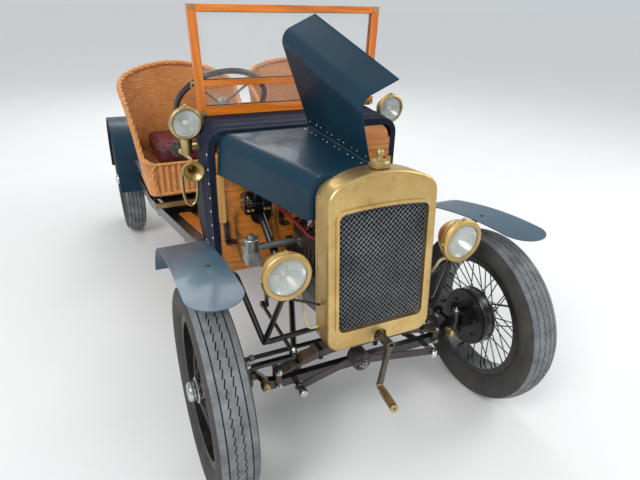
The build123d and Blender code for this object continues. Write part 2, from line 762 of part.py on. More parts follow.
def shell_outline(inset):
    """Radiator outline, set in by the given amount."""
    with BuildSketch(Plane.XY) as outline:
        with BuildLine():
            Polyline((-shell_top_half_width, shell_shoulder), (-shell_half_width, 0), (shell_half_width, 0),
                     (shell_top_half_width, shell_shoulder))
            ThreePointArc((shell_top_half_width, shell_shoulder), (0, shell_height),
                          (-shell_top_half_width, shell_shoulder))
        make_face()
        fillet(outline.vertices().sort_by(Axis.Y)[:2], radius=shell_bottom_radius)
        fillet(outline.vertices().sort_by(Axis.Y)[-2:], radius=shell_shoulder_radius)
        if inset:
            offset(amount=-inset, mode=Mode.REPLACE)
    return outline.sketch


def mesh_outline(inset):
    """Outline of the mesh opening, set in by the given amount."""
    with BuildSketch(Plane.XY) as outline:
        with BuildLine():
            Polyline((-mesh_half_width, mesh_high - mesh_rise), (-mesh_half_width, mesh_low),
                     (mesh_half_width, mesh_low), (mesh_half_width, mesh_high - mesh_rise))
            ThreePointArc((mesh_half_width, mesh_high - mesh_rise), (0, mesh_high),
                          (-mesh_half_width, mesh_high - mesh_rise))
        make_face()
        fillet(outline.vertices(), radius=mesh_corner)
        if inset:
            offset(amount=-inset, mode=Mode.REPLACE)
    return outline.sketch


outer_face = shell_outline(0)
pocket_face = shell_outline(shell_wall)
core_face = shell_outline(shell_wall + running_gap)
opening_face = mesh_outline(0)
bead_face = mesh_outline(-bead_width)
guard_face = mesh_outline(running_gap)
guard_inner_face = mesh_outline(5)

with BuildPart() as radiator_shell:
    with BuildSketch(radiator_plane.offset(-radiator_depth)):
        add(outer_face)
    extrude(amount=radiator_depth)
    front_face = radiator_shell.faces().filter_by(radiator_plane).sort_by(Axis.Y)[0]
    fillet(front_face.outer_wire().edges(), radius=shell_edge_radius)
    with BuildSketch(radiator_plane.offset(-1)):
        add(bead_face)
    extrude(amount=bead_height + 1)
    with BuildSketch(radiator_plane.offset(-radiator_depth - 1)):
        add(pocket_face)
    extrude(amount=radiator_depth + 1 - shell_lip, mode=Mode.SUBTRACT)
    with BuildSketch(radiator_plane.offset(-shell_lip - 1)):
        add(opening_face)
    extrude(amount=shell_lip + bead_height + 2, mode=Mode.SUBTRACT)
    with BuildSketch(radiator_plane.offset(-shell_lip - 10)):
        with Locations((0, crank_hole_up)):
            Circle(crank_hole_radius)
        with Locations((0, crank_hole_up - 50)):
            Rectangle(2 * crank_hole_radius, 100)
    extrude(amount=shell_lip + 12, mode=Mode.SUBTRACT)
save(radiator_shell, "radiator_shell")

with BuildPart() as radiator_core:
    with BuildSketch(radiator_plane.offset(-radiator_depth + 4)):
        add(core_face)
        with Locations((0, core_low - 100)):
            Rectangle(500, 200, mode=Mode.SUBTRACT)
    extrude(amount=radiator_depth - 4 - shell_lip - running_gap)
save(radiator_core, "radiator_core")

guard_step = guard_pitch / sqrt(2)
guard_mid = (mesh_low + mesh_high) / 2
column_limit = int(mesh_half_width / guard_step) + 1
row_limit = int((mesh_high - mesh_low) / 2 / guard_step) + 1
with BuildPart() as stone_guard:
    with BuildSketch(radiator_plane.offset(-guard_setback)):
        add(guard_face)
        cell_places = [(column * guard_step, guard_mid + row * guard_step)
                       for row in range(-row_limit, row_limit + 1)
                       for column in range(-column_limit, column_limit + 1)
                       if (row + column) % 2 == 0]
        with BuildSketch(Plane.XY, mode=Mode.PRIVATE) as cells:
            with Locations(*cell_places):
                Rectangle(guard_pitch - guard_wire, guard_pitch - guard_wire, rotation=45)
            add(guard_inner_face, mode=Mode.INTERSECT)
        add(cells.sketch_local, mode=Mode.SUBTRACT)
    extrude(amount=guard_thickness)
save(stone_guard, "stone_guard")

cap_seat = radiator_plane.from_local_coords(Vector(0, shell_height, -radiator_depth / 2))
cap_radius = 29
finial_radius = 11
finial_neck = 7
finial_up = 41
finial_low = finial_up - sqrt(finial_radius**2 - finial_neck**2)
cap_plane = Plane(origin=cap_seat, x_dir=(1, 0, 0), z_dir=radiator_plane.z_dir)
with BuildPart() as radiator_cap:
    with BuildSketch(cap_plane):
        with BuildLine():
            Polyline((0, 0), (21, 0), (21, 5), (cap_radius, 6), (cap_radius, 15), (24, 20), (9, 22),
                     (finial_neck, finial_low))
            ThreePointArc((finial_neck, finial_low), (finial_radius, finial_up), (0, finial_up + finial_radius))
            Line((0, finial_up + finial_radius), (0, 0))
        make_face()
    revolve(axis=Axis(cap_seat, cap_plane.y_dir))
save(radiator_cap, "radiator_cap")

# Starting handle, left in its dog
handle_radius = 8
handle_elbow = (0, front_axle_y - 165, crank_z)
handle_low = (-27, front_axle_y - 172, 294)
handle_end = (-49, front_axle_y - 290, 312)
handle_shaft = bent_bar([(0, engine_front_y - 24 - running_gap, crank_z), handle_elbow, handle_low, handle_end], handle_radius, 14)
grip_run = Vector(*handle_end) - Vector(*handle_low)
grip_start = Vector(*handle_low) + grip_run * 0.25
with BuildPart() as starting_handle:
    add(handle_shaft)
    with BuildSketch(Plane(origin=grip_start, z_dir=grip_run)):
        Circle(12)
    extrude(amount=grip_run.length * 0.76)
save(starting_handle, "starting_handle")

# Lamps
headlamp_x = 295
headlamp_face_y = front_axle_y - 88
headlamp_z = 690
headlamp_rim = 72
headlamp_glass = 57
headlamp_depth = 104
sidelamp_x = 409
sidelamp_face_y = front_axle_y + 566
sidelamp_z = 972
sidelamp_rim = 57
sidelamp_glass = 47
sidelamp_depth = 74
glass_thickness = 3
cup_top_z = 917
cup_low_z = 860
cup_radius = 20
scuttle_half_width = 365


def lamp_bowl(x, face_y, z, rim, glass, depth):
    """Round lamp body that faces -Y, with a rim and a hollow reflector."""
    bead = 6
    with BuildPart() as piece:
        with BuildSketch(Plane.YZ.offset(x)):
            with BuildLine():
                Line((face_y, z + glass), (face_y, z + rim - bead))
                ThreePointArc((face_y, z + rim - bead), (face_y + bead * 0.3, z + rim - bead * 0.3),
                              (face_y + bead, z + rim))
                Line((face_y + bead, z + rim), (face_y + 16, z + rim))
                Line((face_y + 16, z + rim), (face_y + 18, z + rim - 5))
                ThreePointArc((face_y + 18, z + rim - 5), (face_y + depth * 0.66, z + rim * 0.66),
                              (face_y + depth, z + rim * 0.1))
                Line((face_y + depth, z + rim * 0.1), (face_y + depth, z))
                Line((face_y + depth, z), (face_y + depth * 0.7, z))
                ThreePointArc((face_y + depth * 0.7, z), (face_y + depth * 0.45, z + glass * 0.62),
                              (face_y + 8, z + glass))
                Line((face_y + 8, z + glass), (face_y, z + glass))
            make_face()
        revolve(axis=Axis((x, 0, z), (0, 1, 0)))
    return piece.part


def lamp_glass(x, face_y, z, glass):
    """Slightly domed front glass."""
    edge = glass - running_gap
    dome = 6
    dome_radius = (edge**2 + dome**2) / (2 * dome)
    half_turn = asin(edge / dome_radius) / 2
    mid = (face_y - 3 + dome_radius * (1 - cos(half_turn)), z + dome_radius * sin(half_turn))
    with BuildPart() as piece:
        with BuildSketch(Plane.YZ.offset(x)):
            with BuildLine():
                Line((face_y + 6, z), (face_y + 6, z + edge))
                Line((face_y + 6, z + edge), (face_y - 3 + dome, z + edge))
                ThreePointArc((face_y - 3 + dome, z + edge), mid, (face_y - 3, z))
                Line((face_y - 3, z), (face_y + 6, z))
            make_face()
        revolve(axis=Axis((x, 0, z), (0, 1, 0)))
    return piece.part


headlamp_bowl = lamp_bowl(headlamp_x, headlamp_face_y, headlamp_z, headlamp_rim, headlamp_glass, headlamp_depth)
headlamp_mount_z = headlamp_z - headlamp_rim - 4
headlamp_mount_y = headlamp_face_y + 40
headlamp_stem_radius = 11
headlamp_stem = bar((headlamp_x, headlamp_mount_y, headlamp_mount_z), (headlamp_x, headlamp_mount_y, headlamp_z - 62),
                    headlamp_stem_radius)
with BuildPart() as headlamp_one:
    add(headlamp_bowl)
    add(headlamp_stem)
with BuildPart() as headlamps:
    for copy in both_sides(headlamp_one.part):
        add(copy)
save(headlamps, "headlamps")

sidelamp_bowl = lamp_bowl(sidelamp_x, sidelamp_face_y, sidelamp_z, sidelamp_rim, sidelamp_glass, sidelamp_depth)
sidelamp_mid_y = sidelamp_face_y + 34
sidelamp_cup = bar((sidelamp_x, sidelamp_mid_y, cup_low_z), (sidelamp_x, sidelamp_mid_y, cup_top_z), cup_radius)
sidelamp_neck = bar((sidelamp_x, sidelamp_mid_y, cup_top_z - 2), (sidelamp_x, sidelamp_mid_y, sidelamp_z - 50), 13)
sidelamp_arm = block((scuttle_half_width + running_gap, sidelamp_x - 6), (sidelamp_mid_y - 12, sidelamp_mid_y + 12),
                     (cup_low_z + 14, cup_low_z + 32))
with BuildPart() as sidelamp_one:
    add(sidelamp_bowl)
    add(sidelamp_cup)
    add(sidelamp_neck)
    add(sidelamp_arm)
with BuildPart() as side_lamps:
    for copy in both_sides(sidelamp_one.part):
        add(copy)
save(side_lamps, "side_lamps")

headlamp_pane = lamp_glass(headlamp_x, headlamp_face_y, headlamp_z, headlamp_glass)
sidelamp_pane = lamp_glass(sidelamp_x, sidelamp_face_y, sidelamp_z, sidelamp_glass)
with BuildPart() as lamp_glasses:
    for pane in (headlamp_pane, sidelamp_pane):
        for copy in both_sides(pane):
            add(copy)
save(lamp_glasses, "lamp_glasses")

# Stays that carry the front wings and the headlamps
stay_radius = 9
stay_y = front_axle_y + 45
stay_knee = (325, stay_y, 392)
wing_inner_x = 428
wing_outer_x = 578
wing_over_axle_z = 699
wing_sheet = 3
stay_foot_z = wing_over_axle_z - wing_sheet - stay_radius - running_gap
stay_root = (rail_x(stay_y + stay_radius) + half_rail + running_gap, stay_y, 404)
wing_leg = bent_bar([stay_root, stay_knee, (403, stay_y, 652), (455, stay_y, stay_foot_z), (525, stay_y, stay_foot_z)],
                    stay_radius, 22)
lamp_leg = bar(stay_knee, (headlamp_x, headlamp_mount_y, headlamp_mount_z - 6), stay_radius)
lamp_seat = bar((headlamp_x, headlamp_mount_y, headlamp_mount_z - 14),
                (headlamp_x, headlamp_mount_y, headlamp_mount_z), 14)
shell_rod = bar((headlamp_x, headlamp_mount_y, headlamp_mount_z - 8),
                (shell_half_width + 1.2, headlamp_mount_y, headlamp_mount_z - 60), 4)
with BuildPart() as stay_one:
    add(wing_leg)
    add(lamp_leg)
    add(lamp_seat)
    add(shell_rod)
with BuildPart() as wing_stays:
    for copy in both_sides(stay_one.part):
        add(copy)
save(wing_stays, "wing_stays")

# Front wings: a thin sheet curved over the wheel, round at the front
wing_front_y = front_axle_y - 190
wing_tail_y = front_axle_y + 508
wing_front_z = 706
wing_tail_z = 468
wing_nose_radius = 72
wing_spare = 6


def wing_line(drop):
    """Side line of the front wing, lowered by the sheet's thickness."""
    ThreePointArc((wing_front_y - wing_spare, wing_front_z - drop), (stay_y, wing_over_axle_z - drop),
                  (front_axle_y + 250, 664 - drop))
    ThreePointArc((front_axle_y + 250, 664 - drop), (front_axle_y + 412, 590 - drop),
                  (wing_tail_y - drop * 0.8, wing_tail_z))


with BuildPart() as front_wing_one:
    with BuildSketch(Plane.YZ.offset(wing_inner_x - wing_spare)):
        with BuildLine():
            wing_line(0)
            wing_line(wing_sheet)
            Line((wing_front_y - wing_spare, wing_front_z), (wing_front_y - wing_spare, wing_front_z - wing_sheet))
            Line((wing_tail_y, wing_tail_z), (wing_tail_y - wing_sheet * 0.8, wing_tail_z))
        make_face()
    extrude(amount=wing_outer_x - wing_inner_x + 2 * wing_spare)
    with BuildSketch(Plane.XY.offset(300)) as wing_plan:
        with Locations(((wing_inner_x + wing_outer_x) / 2, (wing_front_y + wing_tail_y + wing_spare) / 2)):
            Rectangle(wing_outer_x - wing_inner_x, wing_tail_y - wing_front_y + wing_spare)
        fillet(wing_plan.vertices().sort_by(Axis.Y)[:2], radius=wing_nose_radius)
    extrude(amount=600, mode=Mode.INTERSECT)
with BuildPart() as front_wing_left:
    add(front_wing_one.part)
save(front_wing_left, "front_wing_left")
with BuildPart() as front_wing_right:
    add(mirror(front_wing_one.part, about=Plane.YZ))
save(front_wing_right, "front_wing_right")

# Rear wings follow the wheel
rear_wing_inner_x = 471
rear_wing_outer_x = 603
deck_half_width = 440
rear_wing_start = 174
rear_wing_end = -3
with BuildPart() as rear_wing_one:
    with BuildSketch(Plane.YZ.offset(rear_wing_inner_x)):
        with BuildLine():
            outer_arc = CenterArc((rear_axle_y, axle_z), rear_wing_radius, rear_wing_end,
                                  rear_wing_start - rear_wing_end)
            inner_arc = CenterArc((rear_axle_y, axle_z), rear_wing_radius - wing_sheet, rear_wing_end,
                                  rear_wing_start - rear_wing_end)
            Line(outer_arc @ 0, inner_arc @ 0)
            Line(outer_arc @ 1, inner_arc @ 1)
        make_face()
    extrude(amount=rear_wing_outer_x - rear_wing_inner_x)
    for angle in (62, 118):
        tab_radius = rear_wing_radius - wing_sheet - 3
        tab_y = rear_axle_y + tab_radius * cos(radians(angle))
        tab_z = axle_z + tab_radius * sin(radians(angle))
        with BuildSketch(Plane.YZ.offset(deck_half_width + running_gap)):
            with Locations(Location((tab_y, tab_z), angle)):
                Rectangle(8, 34)
        extrude(amount=rear_wing_inner_x + 40 - deck_half_width)
with BuildPart() as rear_wing_left:
    add(rear_wing_one.part)
save(rear_wing_left, "rear_wing_left")
with BuildPart() as rear_wing_right:
    add(mirror(rear_wing_one.part, about=Plane.YZ))
save(rear_wing_right, "rear_wing_right")

# Bonnet halves on a common centre hinge; the near-side half stands raised
bonnet_sheet = 2.5
bonnet_front_y = front_axle_y + 18
bonnet_rear_y = front_axle_y + 452
hinge_front_z = 945
hinge_rear_z = 957
bonnet_open_angle = 110.6
hinge_edge_x = 7.5
hinge_roll_radius = 6
hinge_pin_radius = 3
# columns: y, hinge z, fold x, fold z, lower edge x, lower edge z
bonnet_sections = (
    (bonnet_front_y, hinge_front_z, 187, 928, 196, 802),
    (bonnet_rear_y, hinge_rear_z, 330, 957, 341, 822),
)
bonnet_fold_radius = 46
hinge_start = Vector(0, bonnet_front_y, hinge_front_z)
hinge_end = Vector(0, bonnet_rear_y, hinge_rear_z)
hinge_direction = (hinge_end - hinge_start).normalized()
hinge_length = (hinge_end - hinge_start).length
radiator_back = radiator_plane.from_local_coords(Vector(0, shell_height, -radiator_depth))
pin_front = bonnet_front_y - radiator_back.Y - running_gap
pin_rear = 6 - running_gap
roll_count = 5
roll_pitch = hinge_length / roll_count


def bonnet_half(side, first_roll, pin):
    """One bonnet half, closed: a bent sheet with every second hinge roll."""
    with BuildPart() as piece:
        for y, hinge_z, fold_x, fold_z, low_x, low_z in bonnet_sections:
            with BuildSketch(Plane.XZ.offset(-y)):
                with BuildLine():
                    FilletPolyline((side * hinge_edge_x, hinge_z + bonnet_sheet / 2), (side * fold_x, fold_z),
                                   (side * low_x, low_z), radius=bonnet_fold_radius)
                    FilletPolyline((side * hinge_edge_x, hinge_z - bonnet_sheet / 2),
                                   (side * (fold_x - bonnet_sheet), fold_z - bonnet_sheet),
                                   (side * (low_x - bonnet_sheet), low_z), radius=bonnet_fold_radius - bonnet_sheet)
                    Line((side * hinge_edge_x, hinge_z + bonnet_sheet / 2),
                         (side * hinge_edge_x, hinge_z - bonnet_sheet / 2))
                    Line((side * low_x, low_z), (side * (low_x - bonnet_sheet), low_z))
                make_face()
        loft(ruled=True)
        for index in range(first_roll, roll_count, 2):
            roll_start = hinge_start + hinge_direction * (index * roll_pitch + 0.5)
            with BuildSketch(Plane(origin=roll_start, x_dir=(1, 0, 0), z_dir=hinge_direction)):
                Circle(hinge_roll_radius)
                with Locations((side * hinge_edge_x * 0.75, 0)):
                    Rectangle(hinge_edge_x * 0.75, bonnet_sheet)
                Circle(hinge_pin_radius + running_gap, mode=Mode.SUBTRACT)
            extrude(amount=roll_pitch - 1)
        if pin:
            pin_start = hinge_start - hinge_direction * pin_front
            with BuildSketch(Plane(origin=pin_start, x_dir=(1, 0, 0), z_dir=hinge_direction)):
                Circle(hinge_pin_radius)
            extrude(amount=pin_front + hinge_length + pin_rear)
            for index in range(first_roll, roll_count, 2):
                web_start = hinge_start + hinge_direction * (index * roll_pitch + 0.5)
                with BuildSketch(Plane(origin=web_start, x_dir=(1, 0, 0), z_dir=hinge_direction)):
                    Circle(hinge_pin_radius + 1)
                extrude(amount=roll_pitch - 1)
    return piece


bonnet_right = bonnet_half(-1, 0, True)
save(bonnet_right, "bonnet_right")
bonnet_left_closed = bonnet_half(1, 1, False)
with BuildPart() as bonnet_left:
    add(bonnet_left_closed.part.rotate(Axis(hinge_start, hinge_direction), -bonnet_open_angle))
save(bonnet_left, "bonnet_left")

# Scuttle: sheet cowl between the bonnet and the windscreen
scuttle_front_y = front_axle_y + 458
scuttle_rear_y = front_axle_y + 652
scuttle_tail_y = front_axle_y + 742
scuttle_sheet = 3
sill_top_z = 490
scuttle_low_z = sill_top_z + running_gap
scuttle_corner = 58
scuttle_front_z = 962
scuttle_rear_z = 980


def scuttle_top(y):
    """Height of the scuttle top at y."""
    slope = (scuttle_rear_z - scuttle_front_z) / (scuttle_rear_y - scuttle_front_y)
    return scuttle_front_z + slope * (y - scuttle_front_y)


with BuildPart() as scuttle:
    for y in (scuttle_front_y, scuttle_tail_y):
        with BuildSketch(Plane.XZ.offset(-y)):
            top_z = scuttle_top(y)
            wide = scuttle_half_width
            narrow = scuttle_half_width - scuttle_sheet
            with BuildLine():
                FilletPolyline((-wide, scuttle_low_z), (-wide, top_z), (wide, top_z), (wide, scuttle_low_z),
                               radius=scuttle_corner)
                FilletPolyline((-narrow, scuttle_low_z), (-narrow, top_z - scuttle_sheet),
                               (narrow, top_z - scuttle_sheet), (narrow, scuttle_low_z),
                               radius=scuttle_corner - scuttle_sheet)
                Line((-wide, scuttle_low_z), (-narrow, scuttle_low_z))
                Line((wide, scuttle_low_z), (narrow, scuttle_low_z))
            make_face()
    loft(ruled=True)
    with BuildSketch(Plane.YZ.offset(-500)):
        with BuildLine():
            Line((scuttle_front_y - 10, scuttle_rear_z + 40), (scuttle_rear_y, scuttle_rear_z + 40))
            Line((scuttle_rear_y, scuttle_rear_z + 40), (scuttle_rear_y, 740))
            ThreePointArc((scuttle_rear_y, 740), (scuttle_rear_y + 62, 690), (scuttle_tail_y - 4, 600))
            ThreePointArc((scuttle_tail_y - 4, 600), (scuttle_rear_y + 50, 520), (scuttle_rear_y - 40, scuttle_low_z))
            Line((scuttle_rear_y - 40, scuttle_low_z), (scuttle_front_y - 10, scuttle_low_z))
            Line((scuttle_front_y - 10, scuttle_low_z), (scuttle_front_y - 10, scuttle_rear_z + 40))
        make_face()
    extrude(amount=1000, mode=Mode.INTERSECT)
save(scuttle, "scuttle")

# Bulkhead boards behind the engine, and the dash board at the back of the scuttle
board_thickness = 18
firewall_half_width = 334
firewall_low_z = rail_top_z
firewall_top_z = 944
column_hole_radius = 30
gearbox_hole_half = 92
gearbox_hole_top = 540
dash_front_y = scuttle_rear_y - 20
dash_low_z = 838


def column_at(y):
    """Point where the steering column crosses the plane at y."""
    share = (y - steering_box_centre.Y) / column_run.Y
    return steering_box_centre + column_run * share


scuttle_inner_half = scuttle_half_width - scuttle_sheet
with BuildPart() as bulkhead:
    with BuildSketch(Plane.XZ.offset(-scuttle_front_y - board_thickness)) as board:
        with Locations((0, (firewall_low_z + firewall_top_z) / 2)):
            Rectangle(2 * firewall_half_width, firewall_top_z - firewall_low_z)
        fillet(board.vertices().sort_by(Axis.Y)[-2:], radius=52)
        with Locations((0, (firewall_low_z + gearbox_hole_top) / 2 - 1)):
            Rectangle(2 * gearbox_hole_half, gearbox_hole_top - firewall_low_z + 2, mode=Mode.SUBTRACT)
        with Locations((column_at(scuttle_front_y + 9).X, column_at(scuttle_front_y + 9).Z)):
            Circle(column_hole_radius, mode=Mode.SUBTRACT)
    extrude(amount=board_thickness)
    # standing frame at the edge of the bulkhead, flush with the scuttle sides
    for side in (-1, 1):
        with BuildSketch(Plane.XY.offset(sill_top_z)):
            edge_mid = side * (firewall_half_width + scuttle_inner_half - running_gap) / 2
            with Locations((edge_mid, scuttle_front_y + board_thickness / 2)):
                Rectangle(scuttle_inner_half - running_gap - firewall_half_width, board_thickness)
        extrude(amount=400)
save(bulkhead, "bulkhead")

dash_thickness = 15
dash_high_z = 962
with BuildPart() as dashboard:
    with BuildSketch(Plane.XZ.offset(-dash_front_y - dash_thickness)) as dash_board:
        with Locations((0, (dash_low_z + dash_high_z) / 2)):
            Rectangle(2 * (scuttle_inner_half - running_gap), dash_high_z - dash_low_z)
        fillet(dash_board.vertices().sort_by(Axis.Y)[-2:], radius=scuttle_corner)
    extrude(amount=dash_thickness)
save(dashboard, "dashboard")

with BuildPart() as regulator_box:
    with BuildSketch(Plane.XZ.offset(-scuttle_front_y)):
        with Locations((-214, 706)):
            RectangleRounded(100, 66, 10)
    extrude(amount=52)
save(regulator_box, "regulator_box")

# Windscreen: varnished frame with one cross rail, two panes
screen_front_y = scuttle_rear_y - 18
screen_depth = 26
screen_low_z = scuttle_rear_z
screen_high_z = 1344
screen_top_half = 363
screen_low_half = 350
post_width = 29
top_rail = 23
bottom_rail = 32
cross_rail_low_z = 1082
cross_rail_high_z = 1102
pane_thickness = 5


def screen_half(z):
    """Outer half width of the windscreen frame at height z."""
    return screen_low_half + (screen_top_half - screen_low_half) * (z - screen_low_z) / (screen_high_z - screen_low_z)


# columns: low z, high z
pane_rows = ((screen_low_z + bottom_rail, cross_rail_low_z), (cross_rail_high_z, screen_high_z - top_rail))


def pane_corners(low_z, high_z, gap):
    """Corners of one pane opening, drawn in by a gap."""
    low_x = screen_half(low_z) - post_width - gap
    high_x = screen_half(high_z) - post_width - gap
    return (-low_x, low_z + gap), (low_x, low_z + gap), (high_x, high_z - gap), (-high_x, high_z - gap)


with BuildPart() as windscreen_frame:
    with BuildSketch(Plane.XZ.offset(-screen_front_y - screen_depth)):
        with BuildLine():
            Polyline((-screen_low_half, screen_low_z), (screen_low_half, screen_low_z),
                     (screen_top_half, screen_high_z), (-screen_top_half, screen_high_z), close=True)
        make_face()
        for low_z, high_z in pane_rows:
            with BuildLine():
                Polyline(*pane_corners(low_z, high_z, 0), close=True)
            make_face(mode=Mode.SUBTRACT)
    extrude(amount=screen_depth)
save(windscreen_frame, "windscreen_frame")

with BuildPart() as windscreen_glass:
    for low_z, high_z in pane_rows:
        with BuildSketch(Plane.XZ.offset(-screen_front_y - (screen_depth + pane_thickness) / 2)):
            with BuildLine():
                Polyline(*pane_corners(low_z, high_z, running_gap), close=True)
            make_face()
        extrude(amount=pane_thickness)
save(windscreen_glass, "windscreen_glass")

# Bulb horn with a long narrow loop, on the off side of the scuttle
horn_x = -(scuttle_half_width + 42)
horn_tube = 6
horn_z = 815
horn_low_z = 655
horn_throat_y = front_axle_y + 602
horn_bell_length = 82
horn_bell_radius = 37
horn_loop_y = horn_throat_y + 14
horn_loop_half = 26
bulb_y = front_axle_y + 752
bulb_z = 828
bulb_radius = 30
horn_outer_x = horn_x - horn_loop_half
horn_inner_x = horn_x + horn_loop_half
horn_loop = bent_bar(
    [(horn_x, horn_throat_y - 6, horn_z), (horn_x, horn_loop_y, horn_z), (horn_outer_x, horn_loop_y, horn_z - 34),
     (horn_outer_x, horn_loop_y, horn_low_z + 22), (horn_x, horn_loop_y, horn_low_z),
     (horn_inner_x, horn_loop_y, horn_low_z + 22), (horn_inner_x, horn_loop_y, horn_z - 14),
     (horn_inner_x, horn_loop_y + 24, bulb_z), (horn_x, horn_loop_y + 82, bulb_z), (horn_x, bulb_y, bulb_z)],
    horn_tube, 13,
)
with BuildPart() as bulb_horn:
    add(horn_loop)
    with BuildSketch(Plane.YZ.offset(horn_x)):
        with BuildLine():
            mouth_y = horn_throat_y - horn_bell_length
            Line((horn_throat_y, horn_z), (horn_throat_y, horn_z + horn_tube))
            ThreePointArc((horn_throat_y, horn_z + horn_tube), (horn_throat_y - 50, horn_z + 13),
                          (mouth_y, horn_z + horn_bell_radius))
            Line((mouth_y, horn_z + horn_bell_radius), (mouth_y - 2, horn_z + horn_bell_radius - 3))
            ThreePointArc((mouth_y - 2, horn_z + horn_bell_radius - 3), (horn_throat_y - 54, horn_z + 9.5),
                          (horn_throat_y - 20, horn_z + 3))
            Line((horn_throat_y - 20, horn_z + 3), (horn_throat_y - 20, horn_z))
            Line((horn_throat_y - 20, horn_z), (horn_throat_y, horn_z))
        make_face()
    revolve(axis=Axis((horn_x, 0, horn_z), (0, 1, 0)))
    with Locations((horn_x, bulb_y + bulb_radius - 4, bulb_z)):
        Sphere(bulb_radius)
    with BuildSketch(Plane.YZ.offset(-scuttle_half_width - running_gap)):
        with Locations((horn_loop_y, 760)):
            Rectangle(14, 30)
    extrude(amount=horn_x + scuttle_half_width + running_gap)
save(bulb_horn, "bulb_horn")

# Body platform: floor boards on bearers, black side sills, seat platform
bearer_thickness = 14
floor_low_z = rail_top_z + bearer_thickness
floor_top_z = floor_low_z + 12
sill_width = 90
body_tail_y = front_axle_y + 1660
# columns: y, outer half width of the body
body_plan = (
    (scuttle_front_y + board_thickness + running_gap, 352),
    (front_axle_y + 700, 410),
    (front_axle_y + 1195, 500),
    (body_tail_y, 511),
)


def plan_strip(inset_outer, inset_inner):
    """Corners of a strip that follows the body side, between two insets."""
    outer = [(half - inset_outer, y) for y, half in body_plan]
    inner = [(half - inset_inner, y) for y, half in reversed(body_plan)]
    return outer + inner


def body_half(y):
    """Outer half width of the body at y."""
    for (y0, half0), (y1, half1) in zip(body_plan, body_plan[1:]):
        if y <= y1:
            return half0 + (half1 - half0) * (y - y0) / (y1 - y0)
    return body_plan[-1][1]


with BuildPart() as body_sills:
    for side in (-1, 1):
        with BuildSketch(Plane.XY.offset(floor_low_z)):
            with BuildLine():
                Polyline(*[(side * x, y) for x, y in plan_strip(0, sill_width)], close=True)
            make_face()
        extrude(amount=sill_top_z - floor_low_z)
save(body_sills, "body_sills")

gearbox_slot_half = 84
gearbox_slot_end_y = gearbox_end_y + 30
with BuildPart() as floor_boards:
    with BuildSketch(Plane.XY.offset(floor_low_z)):
        with BuildLine():
            right_edge = [(half - sill_width, y) for y, half in body_plan]
            left_edge = [(-x, y) for x, y in reversed(right_edge)]
            Polyline(*right_edge, *left_edge, close=True)
        make_face()
        with Locations((0, (scuttle_front_y + gearbox_slot_end_y) / 2)):
            Rectangle(2 * gearbox_slot_half, gearbox_slot_end_y - scuttle_front_y + 20, mode=Mode.SUBTRACT)
    extrude(amount=floor_top_z - floor_low_z)
    for bearer_y in (front_axle_y + 800, front_axle_y + 1120, front_axle_y + 1430):
        with BuildSketch(Plane.XY.offset(rail_top_z)):
            with Locations((0, bearer_y)):
                Rectangle(2 * body_half(bearer_y - 25), 50)
        extrude(amount=bearer_thickness)
    with BuildSketch(Plane.XY.offset(rail_top_z)):
        for side in (-1, 1):
            slot_edge = gearbox_slot_half + 4
            with Locations((side * (body_half(scuttle_front_y + 60) + slot_edge) / 2, scuttle_front_y + 80)):
                Rectangle(body_half(scuttle_front_y + 60) - slot_edge, 50)
    extrude(amount=bearer_thickness)
save(floor_boards, "floor_boards")

tunnel_low_z = floor_top_z
tunnel_top_z = 546
with BuildPart() as gearbox_cover:
    with BuildSketch(Plane.XZ.offset(-scuttle_front_y - board_thickness - running_gap)) as tunnel_section:
        with Locations((0, (tunnel_low_z + tunnel_top_z) / 2)):
            Rectangle(2 * gearbox_slot_half + 24, tunnel_top_z - tunnel_low_z)
        fillet(tunnel_section.vertices().sort_by(Axis.Z)[-2:], radius=40)
        with Locations((0, (tunnel_low_z + tunnel_top_z) / 2 - 3)):
            Rectangle(2 * gearbox_slot_half + 18, tunnel_top_z - tunnel_low_z, mode=Mode.SUBTRACT)
    extrude(amount=-(gearbox_slot_end_y + 12 - scuttle_front_y - board_thickness))
    with BuildSketch(Plane.XZ.offset(-gearbox_slot_end_y - 12)):
        with Locations((0, (tunnel_low_z + tunnel_top_z) / 2)):
            Rectangle(2 * gearbox_slot_half + 24, tunnel_top_z - tunnel_low_z)
    extrude(amount=-4)
    lever_foot = Vector(0, gearbox_slot_end_y - 40, tunnel_top_z - 2)
    lever_top = Vector(0, gearbox_slot_end_y + 60, 800)
    with BuildSketch(Plane(origin=lever_foot, z_dir=lever_top - lever_foot)):
        Circle(6)
    extrude(amount=(lever_top - lever_foot).length)
    with Locations(lever_top):
        Sphere(17)
save(gearbox_cover, "gearbox_cover")

platform_front_y = front_axle_y + 948
platform_top_z = 545
platform_thickness = 20
riser_x = 230
deck_end_y = front_axle_y + 2330
deck_board = 12
deck_top_z = 690

with BuildPart() as seat_platform:
    with BuildSketch(Plane.XY.offset(platform_top_z - platform_thickness)):
        with BuildLine():
            front_half = body_half(platform_front_y) + 10
            Polyline((-front_half, platform_front_y), (front_half, platform_front_y),
                     (500, front_axle_y + 1195), (511, body_tail_y), (-511, body_tail_y),
                     (-500, front_axle_y + 1195), close=True)
        make_face()
    extrude(amount=platform_thickness)
    for side in (-1, 1):
        with BuildSketch(Plane.XY.offset(floor_top_z)):
            with Locations((side * riser_x, (platform_front_y + 40 + body_tail_y) / 2)):
                Rectangle(24, body_tail_y - platform_front_y - 40)
        extrude(amount=platform_top_z - platform_thickness - floor_top_z)
        with BuildSketch(Plane.XY.offset(platform_top_z - platform_thickness - 40)):
            with Locations((side * riser_x, (body_tail_y - 200 + deck_end_y) / 2)):
                Rectangle(24, deck_end_y - body_tail_y + 200)
        extrude(amount=40)
save(seat_platform, "seat_platform")

